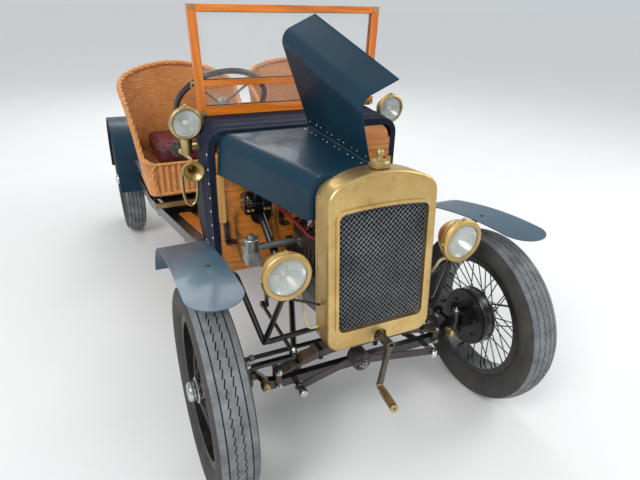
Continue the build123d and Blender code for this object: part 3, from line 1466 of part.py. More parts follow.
# Open luggage deck behind the seats, with the number plate on its tail board
plate_half_width = 130
plate_height = 105
plate_thickness = 3
plate_bolt_spacing = 200
plate_bolt_radius = 3.5
plate_mid_z = 620
plate_bolts = ((-plate_bolt_spacing / 2, plate_mid_z), (plate_bolt_spacing / 2, plate_mid_z))
with BuildPart() as rear_deck:
    with BuildSketch(Plane.XY.offset(platform_top_z - platform_thickness)):
        with Locations((0, (body_tail_y + deck_end_y) / 2)):
            Rectangle(2 * deck_half_width, deck_end_y - body_tail_y)
    extrude(amount=platform_thickness)
    with BuildSketch(Plane.XY.offset(platform_top_z)):
        with Locations((0, (body_tail_y + deck_end_y) / 2)):
            Rectangle(2 * deck_half_width, deck_end_y - body_tail_y)
            Rectangle(2 * (deck_half_width - deck_board), deck_end_y - body_tail_y - 2 * deck_board,
                      mode=Mode.SUBTRACT)
    extrude(amount=deck_top_z - platform_top_z)
    with BuildSketch(Plane.XZ.offset(-deck_end_y)):
        with Locations(*plate_bolts):
            Circle(plate_bolt_radius)
    extrude(amount=deck_board, mode=Mode.SUBTRACT)
save(rear_deck, "rear_deck")

with BuildPart() as plate_bracket:
    with BuildSketch(Plane.XZ.offset(-deck_end_y)):
        with Locations((0, plate_mid_z)):
            RectangleRounded(2 * plate_half_width, plate_height, 8)
        with Locations(*plate_bolts):
            Circle(plate_bolt_radius, mode=Mode.SUBTRACT)
    extrude(amount=-plate_thickness)
save(plate_bracket, "plate_bracket")

# Wicker bucket seats on black bases, with loose cushions
seat_x = 300
seat_front_y = front_axle_y + 985
seat_base_depth = 430
seat_rim_depth = 480
seat_base_half = 215
seat_rim_half = 284
seat_base_z = 571
seat_pan_top_z = 692
seat_apron_top_z = 705
seat_top_z = 1082
arm_z = 942
back_crown_z = seat_top_z - 2
back_side_z = 984
wicker = 20
seat_base_height = seat_base_z - platform_top_z


def seat_section(z, inset):
    """Plan of the seat tub at height z, drawn in by the wall."""
    share = (z - seat_base_z) / (seat_top_z - seat_base_z)
    half = seat_base_half + (seat_rim_half - seat_base_half) * share - inset
    depth = seat_base_depth + (seat_rim_depth - seat_base_depth) * share - 2 * inset
    back_radius = 120 + 80 * share - inset
    with BuildSketch(Plane.XY.offset(z)) as plan:
        with Locations((0, seat_front_y + inset + depth / 2)):
            Rectangle(2 * half, depth)
        fillet(plan.vertices().sort_by(Axis.Y)[-2:], radius=back_radius)
        fillet(plan.vertices().sort_by(Axis.Y)[:2], radius=45 - inset)
    return plan.sketch


base_outer = seat_section(seat_base_z, 0)
top_outer = seat_section(seat_top_z, 0)
under_low = seat_section(seat_base_z, wicker)
under_high = seat_section(seat_pan_top_z - wicker, wicker)
over_low = seat_section(seat_pan_top_z, wicker)
over_high = seat_section(seat_top_z, wicker)
with BuildPart() as seat_body:
    loft([base_outer, top_outer], ruled=True)
with BuildPart() as seat_under:
    loft([under_low, under_high], ruled=True)
with BuildPart() as seat_over:
    loft([over_low, over_high], ruled=True)
with BuildPart() as seat_one:
    add(seat_body.part)
    add(seat_under.part, mode=Mode.SUBTRACT)
    add(seat_over.part, mode=Mode.SUBTRACT)
    with BuildSketch(Plane.YZ.offset(-400)):
        with BuildLine():
            arm_foot_y = seat_front_y + 22
            arm_y = seat_front_y + 190
            arm_back_y = seat_front_y + 340
            clear_z = seat_top_z + 100
            Line((seat_front_y - 50, seat_apron_top_z), (arm_foot_y, seat_apron_top_z))
            ThreePointArc((arm_foot_y, seat_apron_top_z), (arm_foot_y + 42, arm_z - 92), (arm_y, arm_z))
            Line((arm_y, arm_z), (arm_back_y, arm_z + 55))
            Line((arm_back_y, arm_z + 55), (arm_back_y + 70, seat_top_z))
            Line((arm_back_y + 70, seat_top_z), (arm_back_y + 70, clear_z))
            Line((arm_back_y + 70, clear_z), (seat_front_y - 50, clear_z))
            Line((seat_front_y - 50, clear_z), (seat_front_y - 50, seat_apron_top_z))
        make_face()
    extrude(amount=800, mode=Mode.SUBTRACT)
    # arched top of the back
    with BuildSketch(Plane.XZ.offset(-seat_front_y - 100)):
        with BuildLine():
            arch_x = seat_rim_half + 10
            ThreePointArc((-arch_x, back_side_z - 8), (0, back_crown_z), (arch_x, back_side_z - 8))
            Line((arch_x, back_side_z - 8), (arch_x, seat_top_z + 60))
            Line((arch_x, seat_top_z + 60), (-arch_x, seat_top_z + 60))
            Line((-arch_x, seat_top_z + 60), (-arch_x, back_side_z - 8))
        make_face()
    extrude(amount=-seat_rim_depth, mode=Mode.SUBTRACT)
    with BuildSketch(Plane.XY.offset(platform_top_z)):
        with Locations((0, seat_front_y + seat_base_depth / 2)):
            Rectangle(2 * seat_base_half - 70, seat_base_depth - 70)
            Rectangle(2 * seat_base_half - 110, seat_base_depth - 110, mode=Mode.SUBTRACT)
    extrude(amount=seat_base_height + 2)
    with BuildSketch(Plane.XY.offset(seat_base_z)):
        with Locations((0, seat_front_y + seat_base_depth / 2)):
            Rectangle(2 * seat_base_half - 30, seat_base_depth - 60)
            Rectangle(2 * seat_base_half - 110, seat_base_depth - 110, mode=Mode.SUBTRACT)
    extrude(amount=10)

cushion_half = 182
cushion_depth = 360
cushion_height = 82
with BuildPart() as cushion_one:
    with BuildSketch(Plane.XY.offset(seat_pan_top_z + running_gap)):
        with Locations((0, seat_front_y + wicker + 12 + cushion_depth / 2)):
            RectangleRounded(2 * cushion_half, cushion_depth, 50)
    extrude(amount=cushion_height)
    fillet(cushion_one.edges().group_by(Axis.Z)[-1], radius=24)

for name, shift in (("right", -seat_x), ("left", seat_x)):
    with BuildPart() as wicker_seat:
        with Locations((shift, 0, 0)):
            add(seat_one.part)
    save(wicker_seat, f"wicker_seat_{name}")
    with BuildPart() as seat_cushion:
        with Locations((shift, 0, 0)):
            add(cushion_one.part)
    save(seat_cushion, f"seat_cushion_{name}")

# Spark leads from the distributor to the plugs, and the headlamp conduits
lead_radius = 3.5
distributor_x = 40
distributor_y = engine_back_y - 50
distributor_top_z = head_top_z + 100
plug_top_z = head_top_z + 48
bundle_y = plug_mid_y + 40
leads = []
for index in range(plug_count):
    plug_y = plug_mid_y + (index - (plug_count - 1) / 2) * plug_pitch
    spread = (index - (plug_count - 1) / 2) * 11
    leads.append(bent_bar(
        [(plug_x, plug_y, plug_top_z + running_gap), (plug_x, plug_y, plug_top_z + 40),
         (plug_x - 12 + spread * 0.4, bundle_y + spread, plug_top_z + 92 + 5 * index),
         (distributor_x + spread, distributor_y, distributor_top_z + 56 + 5 * index),
         (distributor_x + spread, distributor_y, distributor_top_z + running_gap)],
        lead_radius, 15,
    ))
conduit_radius = 4.5
conduit_end_z = 470
conduit = bent_bar(
    [(headlamp_x - headlamp_stem_radius - running_gap, headlamp_mount_y, headlamp_mount_z + 6),
     (headlamp_x - 48, headlamp_mount_y, headlamp_mount_z + 6), (headlamp_x - 72, headlamp_mount_y + 24, 540),
     (headlamp_x - 84, headlamp_mount_y + 10, conduit_end_z),
     (shell_half_width + running_gap, headlamp_mount_y + 10, conduit_end_z)],
    conduit_radius, 18,
)
with BuildPart() as wiring:
    for lead in leads:
        add(lead)
    for copy in both_sides(conduit):
        add(copy)
save(wiring, "wiring")
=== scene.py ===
import bmesh
import bpy
from math import atan2, ceil, cos, hypot, pi, radians, sin, sqrt, tan, tau
from mathutils import Matrix, Vector


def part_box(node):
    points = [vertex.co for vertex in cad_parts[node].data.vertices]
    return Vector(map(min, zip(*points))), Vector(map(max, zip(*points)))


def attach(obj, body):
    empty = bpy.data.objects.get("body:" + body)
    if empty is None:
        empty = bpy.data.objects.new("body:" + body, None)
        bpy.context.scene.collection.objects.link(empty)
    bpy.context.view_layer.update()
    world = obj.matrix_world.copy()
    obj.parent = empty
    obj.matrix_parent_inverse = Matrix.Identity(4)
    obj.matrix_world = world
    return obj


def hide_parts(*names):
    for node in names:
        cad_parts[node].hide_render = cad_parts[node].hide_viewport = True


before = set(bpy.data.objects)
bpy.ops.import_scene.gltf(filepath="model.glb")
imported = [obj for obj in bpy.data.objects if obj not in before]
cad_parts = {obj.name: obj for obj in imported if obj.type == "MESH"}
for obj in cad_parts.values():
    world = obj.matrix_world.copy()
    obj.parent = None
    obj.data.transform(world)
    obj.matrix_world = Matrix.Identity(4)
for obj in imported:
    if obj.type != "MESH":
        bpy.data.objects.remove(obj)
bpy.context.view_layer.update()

bl_info = {
    "name": "Light two-seater",
    "version": (1, 0, 0),
    "blender": (4, 5, 0),
    "location": "3D View > Sidebar > Two-seater",
    "description": "Finishes and fine detail for a light open two-seater of the early 1930s",
    "category": "Object",
}

# Driving places, in metres, the same as in the solid model
FRONT_Y = -1.057
REAR_Y = 1.0
AXLE_Z = 0.319

MM = 0.001
WASHER = 0.0014
WELD = 2e-6
SIDES = (("right", -1), ("left", 1))

finishes = {}


# Places and lines

def tint(red, green, blue):
    """Colour written as 0 to 255, as the linear colour that a shader takes."""
    def line(value):
        share = value / 255
        return share / 12.92 if share <= 0.04045 else ((share + 0.055) / 1.055) ** 2.4
    return (line(red), line(green), line(blue))


def axle(x, y, z):
    """A point in millimetres, with y counted back from the front axle."""
    return Vector((x * MM, FRONT_Y + y * MM, z * MM))


def route(*points):
    """Points in millimetres, each counted as in axle."""
    return [axle(*point) for point in points]


def aimed(origin, direction):
    """Place whose Z axis points along a direction."""
    turn = Vector(direction).to_track_quat("Z", "Y").to_matrix().to_4x4()
    return Matrix.Translation(origin) @ turn


def bench(origin, direction):
    """An aimed place that takes sizes in millimetres."""
    return aimed(origin, direction) @ Matrix.Scale(MM, 4)


def turns(count, start=0.0):
    """Angles of a number of like things round a circle."""
    return [tau * k / count + start for k in range(count)]


def arc(start, middle, end, count):
    """Points in a plane on the arc through three points, both ends among them."""
    (x1, y1), (x2, y2), (x3, y3) = start, middle, end
    cross = 2 * (x1 * (y2 - y3) + x2 * (y3 - y1) + x3 * (y1 - y2))
    s1, s2, s3 = x1 * x1 + y1 * y1, x2 * x2 + y2 * y2, x3 * x3 + y3 * y3
    cx = (s1 * (y2 - y3) + s2 * (y3 - y1) + s3 * (y1 - y2)) / cross
    cy = (s1 * (x3 - x2) + s2 * (x1 - x3) + s3 * (x2 - x1)) / cross
    radius = hypot(x1 - cx, y1 - cy)
    first = atan2(y1 - cy, x1 - cx)
    halfway = (atan2(y2 - cy, x2 - cx) - first) % tau
    sweep = (atan2(y3 - cy, x3 - cx) - first) % tau
    if halfway > sweep:
        sweep -= tau
    angles = [first + sweep * i / (count - 1) for i in range(count)]
    return [(cx + radius * cos(a), cy + radius * sin(a)) for a in angles]


def smooth(points, steps=6):
    """Points on a smooth line through the given points."""
    made = []
    for i, (b, c) in enumerate(zip(points, points[1:])):
        a = points[i - 1] if i else b * 2 - c
        d = points[i + 2] if i + 2 < len(points) else c * 2 - b
        for step in range(steps):
            t = step / steps
            made.append(0.5 * ((2 * b) + (c - a) * t + (2 * a - 5 * b + 4 * c - d) * t * t
                               + (3 * b - a - 3 * c + d) * t * t * t))
    made.append(points[-1].copy())
    return made


def sides_along(path, closed=False):
    """For each point of a path, two directions square to it that turn as little as they can."""
    side = None
    for i, point in enumerate(path):
        before = path[i - 1] if i or closed else point
        after = path[(i + 1) % len(path)] if i + 1 < len(path) or closed else point
        run = (after - before).normalized()
        if side is None:
            side = run.orthogonal().normalized()
        side = (side - run * side.dot(run)).normalized()
        yield point, side, run.cross(side)


class Shape:
    """Points and faces of one piece, gathered form by form."""

    def __init__(self):
        self.points, self.faces, self.finish = [], [], []

    def skin(self, rows, round_rows=False, round_ends=False, finish=0):
        """Faces over rows of points; finish may be a function of the column."""
        first, width, count = len(self.points), len(rows[0]), len(rows)
        for row in rows:
            self.points.extend(row)
        for r in range(count if round_ends else count - 1):
            near, far = first + r * width, first + (r + 1) % count * width
            for c in range(width if round_rows else width - 1):
                after = (c + 1) % width
                self.faces.append((near + c, near + after, far + after, far + c))
                self.finish.append(finish(c) if callable(finish) else finish)

    def lid(self, row, finish=0):
        """One face over a closed row of points."""
        first = len(self.points)
        self.points.extend(row)
        self.faces.append(tuple(range(first, first + len(row))))
        self.finish.append(finish)

    def solid(self, rows, finish=0):
        """Closed rows of points with a lid at each end."""
        self.skin(rows, round_rows=True, finish=finish)
        self.lid(list(reversed(rows[0])), finish)
        self.lid(rows[-1], finish)

    def lathe(self, outline, place, steps=32, finish=0):
        """Outline of (radius, height) turned about the place's Z axis."""
        rows = [[place @ Vector((radius * cos(a), radius * sin(a), height)) for a in turns(steps)]
                for radius, height in outline]
        self.skin(rows, round_rows=True, finish=finish)

    def tube(self, path, radius, sides=8, closed=False, ends=True, finish=0):
        """Round bar along a path; radius may be a function of the share along it."""
        rows = []
        for i, (point, side, other) in enumerate(sides_along(path, closed)):
            size = radius(i / (len(path) - 1)) if callable(radius) else radius
            rows.append([point + side * (size * cos(a)) + other * (size * sin(a)) for a in turns(sides)])
        if ends and not closed:
            self.solid(rows, finish)
        else:
            self.skin(rows, round_rows=True, round_ends=closed, finish=finish)

    def prism(self, outline, place, height, chamfer):
        """Convex outline raised to a height, with both its rims chamfered."""
        small = 1 - chamfer / max(hypot(x, y) for x, y in outline)
        levels = ((small, 0), (1, chamfer), (1, height - chamfer), (small, height))
        self.solid([[place @ Vector((x * scale, y * scale, level)) for x, y in outline]
                    for scale, level in levels])

    def nut(self, origin, direction, across, height, washer=0.0, stud=0.0):
        """Hexagon nut, with a washer below it and its stud's end above it if sizes are given."""
        place = aimed(origin, direction)
        if washer:
            self.lathe([(0, 0), (washer, 0), (washer, WASHER), (0, WASHER)], place, 16)
            place = place @ Matrix.Translation((0, 0, WASHER))
        reach = across / 2 / cos(pi / 6)
        outline = [(reach * cos(a), reach * sin(a)) for a in turns(6)]
        self.prism(outline, place, height, min(height, across) * 0.14)
        if stud:
            end = height + stud
            self.lathe([(0, end), (across * 0.2, end), (across * 0.28, end - across * 0.06),
                        (across * 0.28, height)], place, 10)

    def dome(self, origin, direction, radius, height, steps=10):
        """Round head of a screw or rivet."""
        outline = [(radius * cos(pi / 2 * k / 4), height * sin(pi / 2 * k / 4)) for k in range(5)]
        self.lathe([(radius, -height * 0.3)] + outline, aimed(origin, direction), steps)

    def slab(self, low, high, chamfer, place=None):
        """Block between two corners with all its edges chamfered."""
        place = place or Matrix.Identity(4)
        (x0, y0, z0), (x1, y1, z1), c = low, high, chamfer
        rows = []
        for inset, level in ((c, z0), (0, z0 + c), (0, z1 - c), (c, z1)):
            a0, b0, a1, b1 = x0 + inset, y0 + inset, x1 - inset, y1 - inset
            rows.append([place @ Vector((x, y, level)) for x, y in (
                (a0 + c, b0), (a1 - c, b0), (a1, b0 + c), (a1, b1 - c),
                (a1 - c, b1), (a0 + c, b1), (a0, b1 - c), (a0, b0 + c))])
        self.solid(rows)

    def blocks(self, chamfer, *corners):
        """Slabs between low and high corners in millimetres, each counted as in axle."""
        for x0, y0, z0, x1, y1, z1 in corners:
            self.slab(axle(x0, y0, z0), axle(x1, y1, z1), chamfer)

    def piece(self, name, kinds, slot, body="car_body", crease=32, nodes=()):
        """The piece as an object that has its finishes and rides on a body."""
        mesh = bpy.data.meshes.new(name)
        mesh.from_pydata([tuple(point) for point in self.points], [], self.faces)
        mesh.polygons.foreach_set("material_index", self.finish)
        work = bmesh.new()
        work.from_mesh(mesh)
        bmesh.ops.remove_doubles(work, verts=work.verts, dist=WELD)
        bmesh.ops.dissolve_degenerate(work, edges=work.edges, dist=WELD)
        bmesh.ops.recalc_face_normals(work, faces=work.faces)
        work.to_mesh(mesh)
        work.free()
        made = bpy.data.objects.new(name, mesh)
        bpy.context.scene.collection.objects.link(made)
        mesh.shade_smooth()
        mesh.set_sharp_from_angle(angle=radians(crease))
        for kind in kinds.split():
            mesh.materials.append(finishes[kind])
        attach(made, body)
        if nodes:
            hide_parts(*nodes)


# Finishes

class Term:
    """A socket's value; an expression on it adds its Math nodes."""

    def __init__(self, finish, socket):
        self.finish = finish
        self.socket = socket

    def maths(self, operation, first, second=0.0):
        return self.finish.node("ShaderNodeMath", {"operation": operation}, {0: first, 1: second})

    def __add__(self, other):
        return self.maths("ADD", self, other)

    def __radd__(self, other):
        return self.maths("ADD", other, self)

    def __sub__(self, other):
        return self.maths("SUBTRACT", self, other)

    def __rsub__(self, other):
        return self.maths("SUBTRACT", other, self)

    def __mul__(self, other):
        return self.maths("MULTIPLY", self, other)

    def __rmul__(self, other):
        return self.maths("MULTIPLY", other, self)

    def __truediv__(self, other):
        return self.maths("DIVIDE", self, other)

    def __rtruediv__(self, other):
        return self.maths("DIVIDE", other, self)

    def __gt__(self, other):
        return self.maths("GREATER_THAN", self, other)

    def __lt__(self, other):
        return self.maths("LESS_THAN", self, other)

    def __abs__(self):
        return self.maths("ABSOLUTE", self)


class Finish:
    """One material and the nodes in it."""

    def __init__(self, name):
        self.material = bpy.data.materials.new(name)
        self.material.use_nodes = True
        self.tree = self.material.node_tree
        self.tree.nodes.clear()
        self.end = self.tree.nodes.new("ShaderNodeOutputMaterial")
        self.here = self.node("ShaderNodeTexCoord", out="Object")
        finishes[name] = self.material

    def node(self, kind, settings=None, values=None, out=0):
        """Any node: its type, its settings, then its sockets' values or links."""
        made = self.tree.nodes.new(kind)
        for name, value in (settings or {}).items():
            setattr(made, name, value)
        for name, value in (values or {}).items():
            socket = made.inputs[name]
            if isinstance(value, Term):
                self.tree.links.new(value.socket, socket)
            elif socket.type == "RGBA" and len(value) == 3:
                socket.default_value = (*value, 1)
            else:
                socket.default_value = value
        return Term(self, made.outputs[out])

    def vector(self, operation, first, second=(0, 0, 0), out=0):
        return self.node("ShaderNodeVectorMath", {"operation": operation}, {0: first, 1: second}, out)

    def stretched(self, x, y, z):
        """The place on the object, with each axis counted at its own scale."""
        return self.vector("MULTIPLY", self.here, (x, y, z))

    def axis(self, name):
        return self.node("ShaderNodeSeparateXYZ", None, {0: self.here}, out="XYZ".index(name))

    def noise(self, scale, detail=3.0, rough=0.5, at=None, twist=0.0):
        return self.node("ShaderNodeTexNoise", None, {
            "Vector": at or self.here, "Scale": scale, "Detail": detail, "Roughness": rough,
            "Distortion": twist})

    def cells(self, scale, at=None, feature="F1"):
        return self.node("ShaderNodeTexVoronoi", {"feature": feature},
                         {"Vector": at or self.here, "Scale": scale}, out="Distance")

    def span(self, value, low, high, start=0.0, end=1.0):
        """The value's range from low to high, brought to another range and held in it."""
        return self.node("ShaderNodeMapRange", None, {0: value, 1: low, 2: high, 3: start, 4: end})

    def mix(self, share, first, second):
        return self.node("ShaderNodeMix", {"data_type": "RGBA"}, {0: share, 6: first, 7: second}, out=2)

    def mix_places(self, share, first, second):
        return self.node("ShaderNodeMix", {"data_type": "VECTOR"}, {0: share, 4: first, 5: second}, out=1)

    def bump(self, height, distance, strength=1.0):
        return self.node("ShaderNodeBump", None,
                         {"Height": height, "Distance": distance, "Strength": strength})

    def surface(self, colour, **values):
        """The surface shader; a socket's name is written with low lines."""
        named = {"Base Color": colour}
        for name, value in values.items():
            named[name.replace("_", " ").title().replace("Ior", "IOR")] = value
        shader = self.node("ShaderNodeBsdfPrincipled", None, named)
        self.tree.links.new(shader.socket, self.end.inputs["Surface"])


def worn_metal(name, clean, dull, dirt, rough, spread, brushed, dirt_share):
    """Metal with cloudy dulling, fine scratches and some dirt in blotches."""
    make = Finish(name)
    clouds = make.noise(9, 5, 0.6)
    fine = make.noise(160, 3, 0.6)
    blot = make.span(make.noise(23, 6, 0.7, twist=0.6), 0.56, 0.74)
    colour = make.mix(make.span(clouds, 0.32, 0.68), clean, dull)
    hairs = make.noise(30, 2, 0.5, at=make.stretched(1, 1, 26)) if brushed else fine
    make.surface(make.mix(blot * dirt_share, colour, dirt), metallic=1.0,
                 roughness=clouds * spread + fine * 0.10 + (rough - spread / 2 - 0.05) + blot * 0.18,
                 normal=make.bump(hairs + fine * 0.5, 0.00012, 0.35 + brushed))


def enamel(name, colour, deep, dust, rough, coat, dusty, shine):
    """Brushed or sprayed paint with slight orange peel, cloudy tone and dust."""
    make = Finish(name)
    broad = make.noise(4.5, 4, 0.55)
    fine = make.noise(240, 2, 0.5)
    specks = make.span(make.noise(700, 2, 0.7), 0.62, 0.76)
    settled = make.span(make.noise(14, 6, 0.65), 0.50, 0.78)
    shade = make.mix(make.span(broad, 0.3, 0.7), colour, deep)
    shade = make.mix((settled * 0.7 + specks * 0.3) * dusty, shade, dust)
    make.surface(shade, roughness=settled * 0.22 + fine * 0.06 + rough, coat_weight=coat,
                 coat_roughness=0.09, specular_ior_level=shine,
                 normal=make.bump(make.noise(130, 2, 0.4) + fine * 0.3, 0.00005, 0.5))


def rusty(name, bare, rusted, patches, reach, flake_scale, metal, rough, bump):
    """Iron that has rusted in patches, and flakes there."""
    make = Finish(name)
    rust = make.span(make.noise(patches[0], 7, patches[1]), *reach)
    flakes = make.noise(flake_scale, 4, 0.7)
    make.surface(make.mix(rust, bare, rusted), metallic=metal[0] - rust * metal[1],
                 roughness=rust * rough[0] + flakes * rough[1] + rough[2],
                 normal=make.bump(flakes + rust, *bump))


def varnished(name, bright, deep, grain_dark, along, board=None):
    """Varnished wood: long grain along one axis, pores, rings and worn varnish.

    A board is the axis across the boards and the width of one.
    """
    make = Finish(name)
    stretch = {"X": (1, 14, 14), "Y": (14, 1, 14), "Z": (14, 14, 1)}
    if along == "frame":
        upright = abs(make.axis("X")) > 0.322
        at = make.mix_places(upright, make.stretched(*stretch["X"]), make.stretched(*stretch["Z"]))
    else:
        at = make.stretched(*stretch[along])
    flow = make.noise(3.2, 4, 0.55, at=at, twist=1.4)
    pores = make.noise(34, 3, 0.65, at=at, twist=0.3)
    rings = make.node("ShaderNodeTexWave", {"wave_type": "BANDS", "bands_direction": "DIAGONAL"},
                      {"Vector": at, "Scale": 1.6, "Distortion": 9.0, "Detail": 3.0,
                       "Detail Scale": 1.2}, out="Fac")
    colour = make.mix(make.span(flow, 0.3, 0.7), bright, deep)
    colour = make.mix(rings * 0.38, colour, grain_dark)
    colour = make.mix(make.span(pores, 0.56, 0.72) * 0.45, colour, grain_dark)
    height = pores * 0.6 + rings * 0.25
    if board:
        axis, pitch = board
        place = make.axis(axis) / pitch
        step = place.maths("FLOOR", place)
        seam = make.span(abs(place - step - 0.5), 0.488, 0.496)
        pick = make.node("ShaderNodeTexWhiteNoise", {"noise_dimensions": "1D"}, {"W": step}, out="Value")
        colour = make.mix(pick * 0.30, colour, deep)
        colour = make.mix(seam * 0.85, colour, tint(40, 20, 8))
        height = height - seam * 4
    make.surface(colour, roughness=make.noise(11, 5, 0.6) * 0.25 + 0.17, coat_weight=0.55,
                 coat_roughness=0.12, normal=make.bump(height, 0.00025, 0.5))


def rubber(name, dark, dusty, share, grain=420, rough=0.75):
    """Rubber with fine grain and grime in patches."""
    make = Finish(name)
    grime = make.span(make.noise(17, 6, 0.7), 0.35, 0.7)
    fine = make.noise(grain, 3, 0.6)
    make.surface(make.mix(grime * share + fine * 0.12, dark, dusty), roughness=grime * 0.15 + rough,
                 normal=make.bump(fine, 0.0003, 0.5))


def woven_cane(name, light, mid, dark):
    """Varnished cane strands: each one a little different, with darker fibres and dirt in patches."""
    make = Finish(name)
    broad = make.noise(7, 4, 0.6)
    strands = make.noise(26, 3, 0.6, at=make.stretched(1, 1, 4.2))
    fibres = make.noise(300, 3, 0.6, at=make.stretched(1, 1, 5))
    dirt = make.span(make.noise(45, 5, 0.7), 0.6, 0.8)
    colour = make.mix(make.span(broad * 0.45 + strands * 0.55, 0.36, 0.64), light, mid)
    colour = make.mix(make.span(fibres, 0.52, 0.75) * 0.5, colour, dark)
    make.surface(make.mix(dirt * 0.4, colour, dark), roughness=fibres * 0.2 + 0.42, coat_weight=0.15,
                 coat_roughness=0.3, normal=make.bump(fibres, 0.0003, 0.6))


def hide(name, rich, deep, rubbed, rough=0.30, coat=0.2, shine=0.5):
    """Old leather: pebbled grain, creases, rubbed highlights."""
    make = Finish(name)
    grain = make.cells(420)
    wandering = make.node("ShaderNodeTexNoise", None, {"Vector": make.here, "Scale": 18.0}, out="Color")
    crease = make.cells(52, at=make.vector("ADD", make.here, wandering), feature="DISTANCE_TO_EDGE")
    lines = make.span(crease, 0.0, 0.05, 1.0, 0.0)
    broad = make.noise(8, 5, 0.6)
    colour = make.mix(make.span(broad, 0.3, 0.7), rich, deep)
    colour = make.mix(make.span(make.noise(30, 5, 0.7), 0.52, 0.75) * 0.4, colour, rubbed)
    make.surface(make.mix(lines * 0.35, colour, deep), roughness=broad * 0.2 + grain * 0.15 + rough,
                 coat_weight=coat, coat_roughness=0.25, specular_ior_level=shine,
                 normal=make.bump(grain * 0.6 - lines * 0.7, 0.0006, 0.55))


def glassy(name, colour, smears, reach, rough, alpha, **constants):
    """Glass that lets light through without bending it, with a faint smeared haze."""
    make = Finish(name)
    smear = make.span(make.noise(*smears[:3], twist=smears[3]), *reach)
    make.surface(colour, roughness=smear * rough[0] + rough[1], alpha=smear * alpha[0] + alpha[1],
                 coat_weight=1.0, **constants)


def mixed(name, choose, worn_args, first, second):
    """Two worn colours on one solid: its finish, its colour, the mask that chooses and the wear."""
    make = Finish(name)
    mask = choose(make)
    worn = make.noise(*worn_args)
    pair = [make.mix(worn, tint(*new), tint(*old)) for new, old in (first, second)]
    return make, make.mix(mask, *pair), mask, worn


def near_centre(make):
    """Mask of the leads that run close to the car's centre line."""
    return abs(make.axis("X")) < 0.15


def inside_rim(make):
    """Mask of the steering wheel's spokes and hub."""
    arm = make.vector("SUBTRACT", make.here, WHEEL_CENTRE)
    up = make.vector("DOT_PRODUCT", arm, COLUMN_RUN, out="Value")
    whole = make.vector("LENGTH", arm, out="Value")
    return (whole * whole - up * up) < 0.167 ** 2


# A colour is one of the look's settings by name, or red, green and blue from 0 to 255.
# columns: name, clean, dull, dirt, roughness, its spread, brushing, share of dirt
METALS = (
    ("brass", "brass", "brass_dull", (120, 92, 50), 0.44, 0.12, 0.3, 0.30),
    ("brass_old", (214, 192, 138), (168, 146, 98), (92, 78, 54), 0.40, 0.12, 0.0, 0.5),
    ("bright", (225, 226, 224), (178, 178, 174), (90, 84, 74), 0.16, 0.10, 0.0, 0.35),
    ("zinc", (176, 178, 178), (120, 121, 120), (76, 66, 54), 0.40, 0.12, 0.0, 0.5),
    ("cast_alloy", (188, 190, 190), (138, 140, 140), (60, 56, 50), 0.46, 0.12, 0.0, 0.6),
    ("guard_wire", (176, 180, 184), (122, 128, 134), (70, 68, 64), 0.34, 0.12, 0.0, 0.4),
    ("mirror", (238, 242, 236), (214, 218, 208), (120, 112, 96), 0.26, 0.08, 0.0, 0.25),
    ("handle_steel", (132, 125, 114), (92, 85, 75), (64, 48, 36), 0.48, 0.12, 0.0, 0.7),
)
# columns: name, colour, deep places, dust, roughness, coat, share of dust, shine
PAINTS = (
    ("blue_enamel", "blue", "blue_deep", (96, 112, 122), 0.36, 0.10, 0.04, 0.24),
    ("wing_blue", "wing_blue", (40, 66, 86), (150, 158, 160), 0.34, 0.25, 0.16, 0.5),
    ("black_enamel", "black", (8, 8, 9), (110, 104, 94), 0.26, 0.5, 0.20, 0.5),
    ("black_gloss", "black", (6, 6, 7), (120, 116, 108), 0.12, 0.9, 0.07, 0.5),
    ("engine_black", (30, 30, 32), (15, 15, 16), (92, 84, 72), 0.42, 0.15, 0.45, 0.5),
    ("wheel_black", "black", (9, 9, 10), (120, 112, 98), 0.28, 0.4, 0.28, 0.5),
    ("damper_paint", (66, 52, 56), (42, 34, 38), (112, 98, 86), 0.42, 0.15, 0.5, 0.5),
    ("scuttle_navy", (16, 34, 52), (10, 24, 40), (72, 84, 100), 0.42, 0.06, 0.08, 0.25),
    ("porcelain", (236, 236, 230), (214, 212, 204), (120, 112, 100), 0.18, 0.8, 0.2, 0.5),
    ("lead_red", (170, 24, 24), (110, 12, 14), (90, 60, 50), 0.45, 0.1, 0.2, 0.5),
)
# columns: name, bright, deep, dark grain, the grain's axis, boards
WOODS = (
    ("wood_frame", "varnish", "varnish_deep", (150, 72, 14), "frame", None),
    ("wood_boards", (240, 158, 66), (222, 132, 46), (156, 82, 24), "X", ("Z", 0.094)),
    ("wood_across", (206, 122, 44), (172, 92, 28), (112, 56, 16), "X", ("Y", 0.088)),
    ("wood_edge", (232, 178, 96), (208, 148, 68), (150, 94, 36), "Z", ("X", 0.0045)),
)


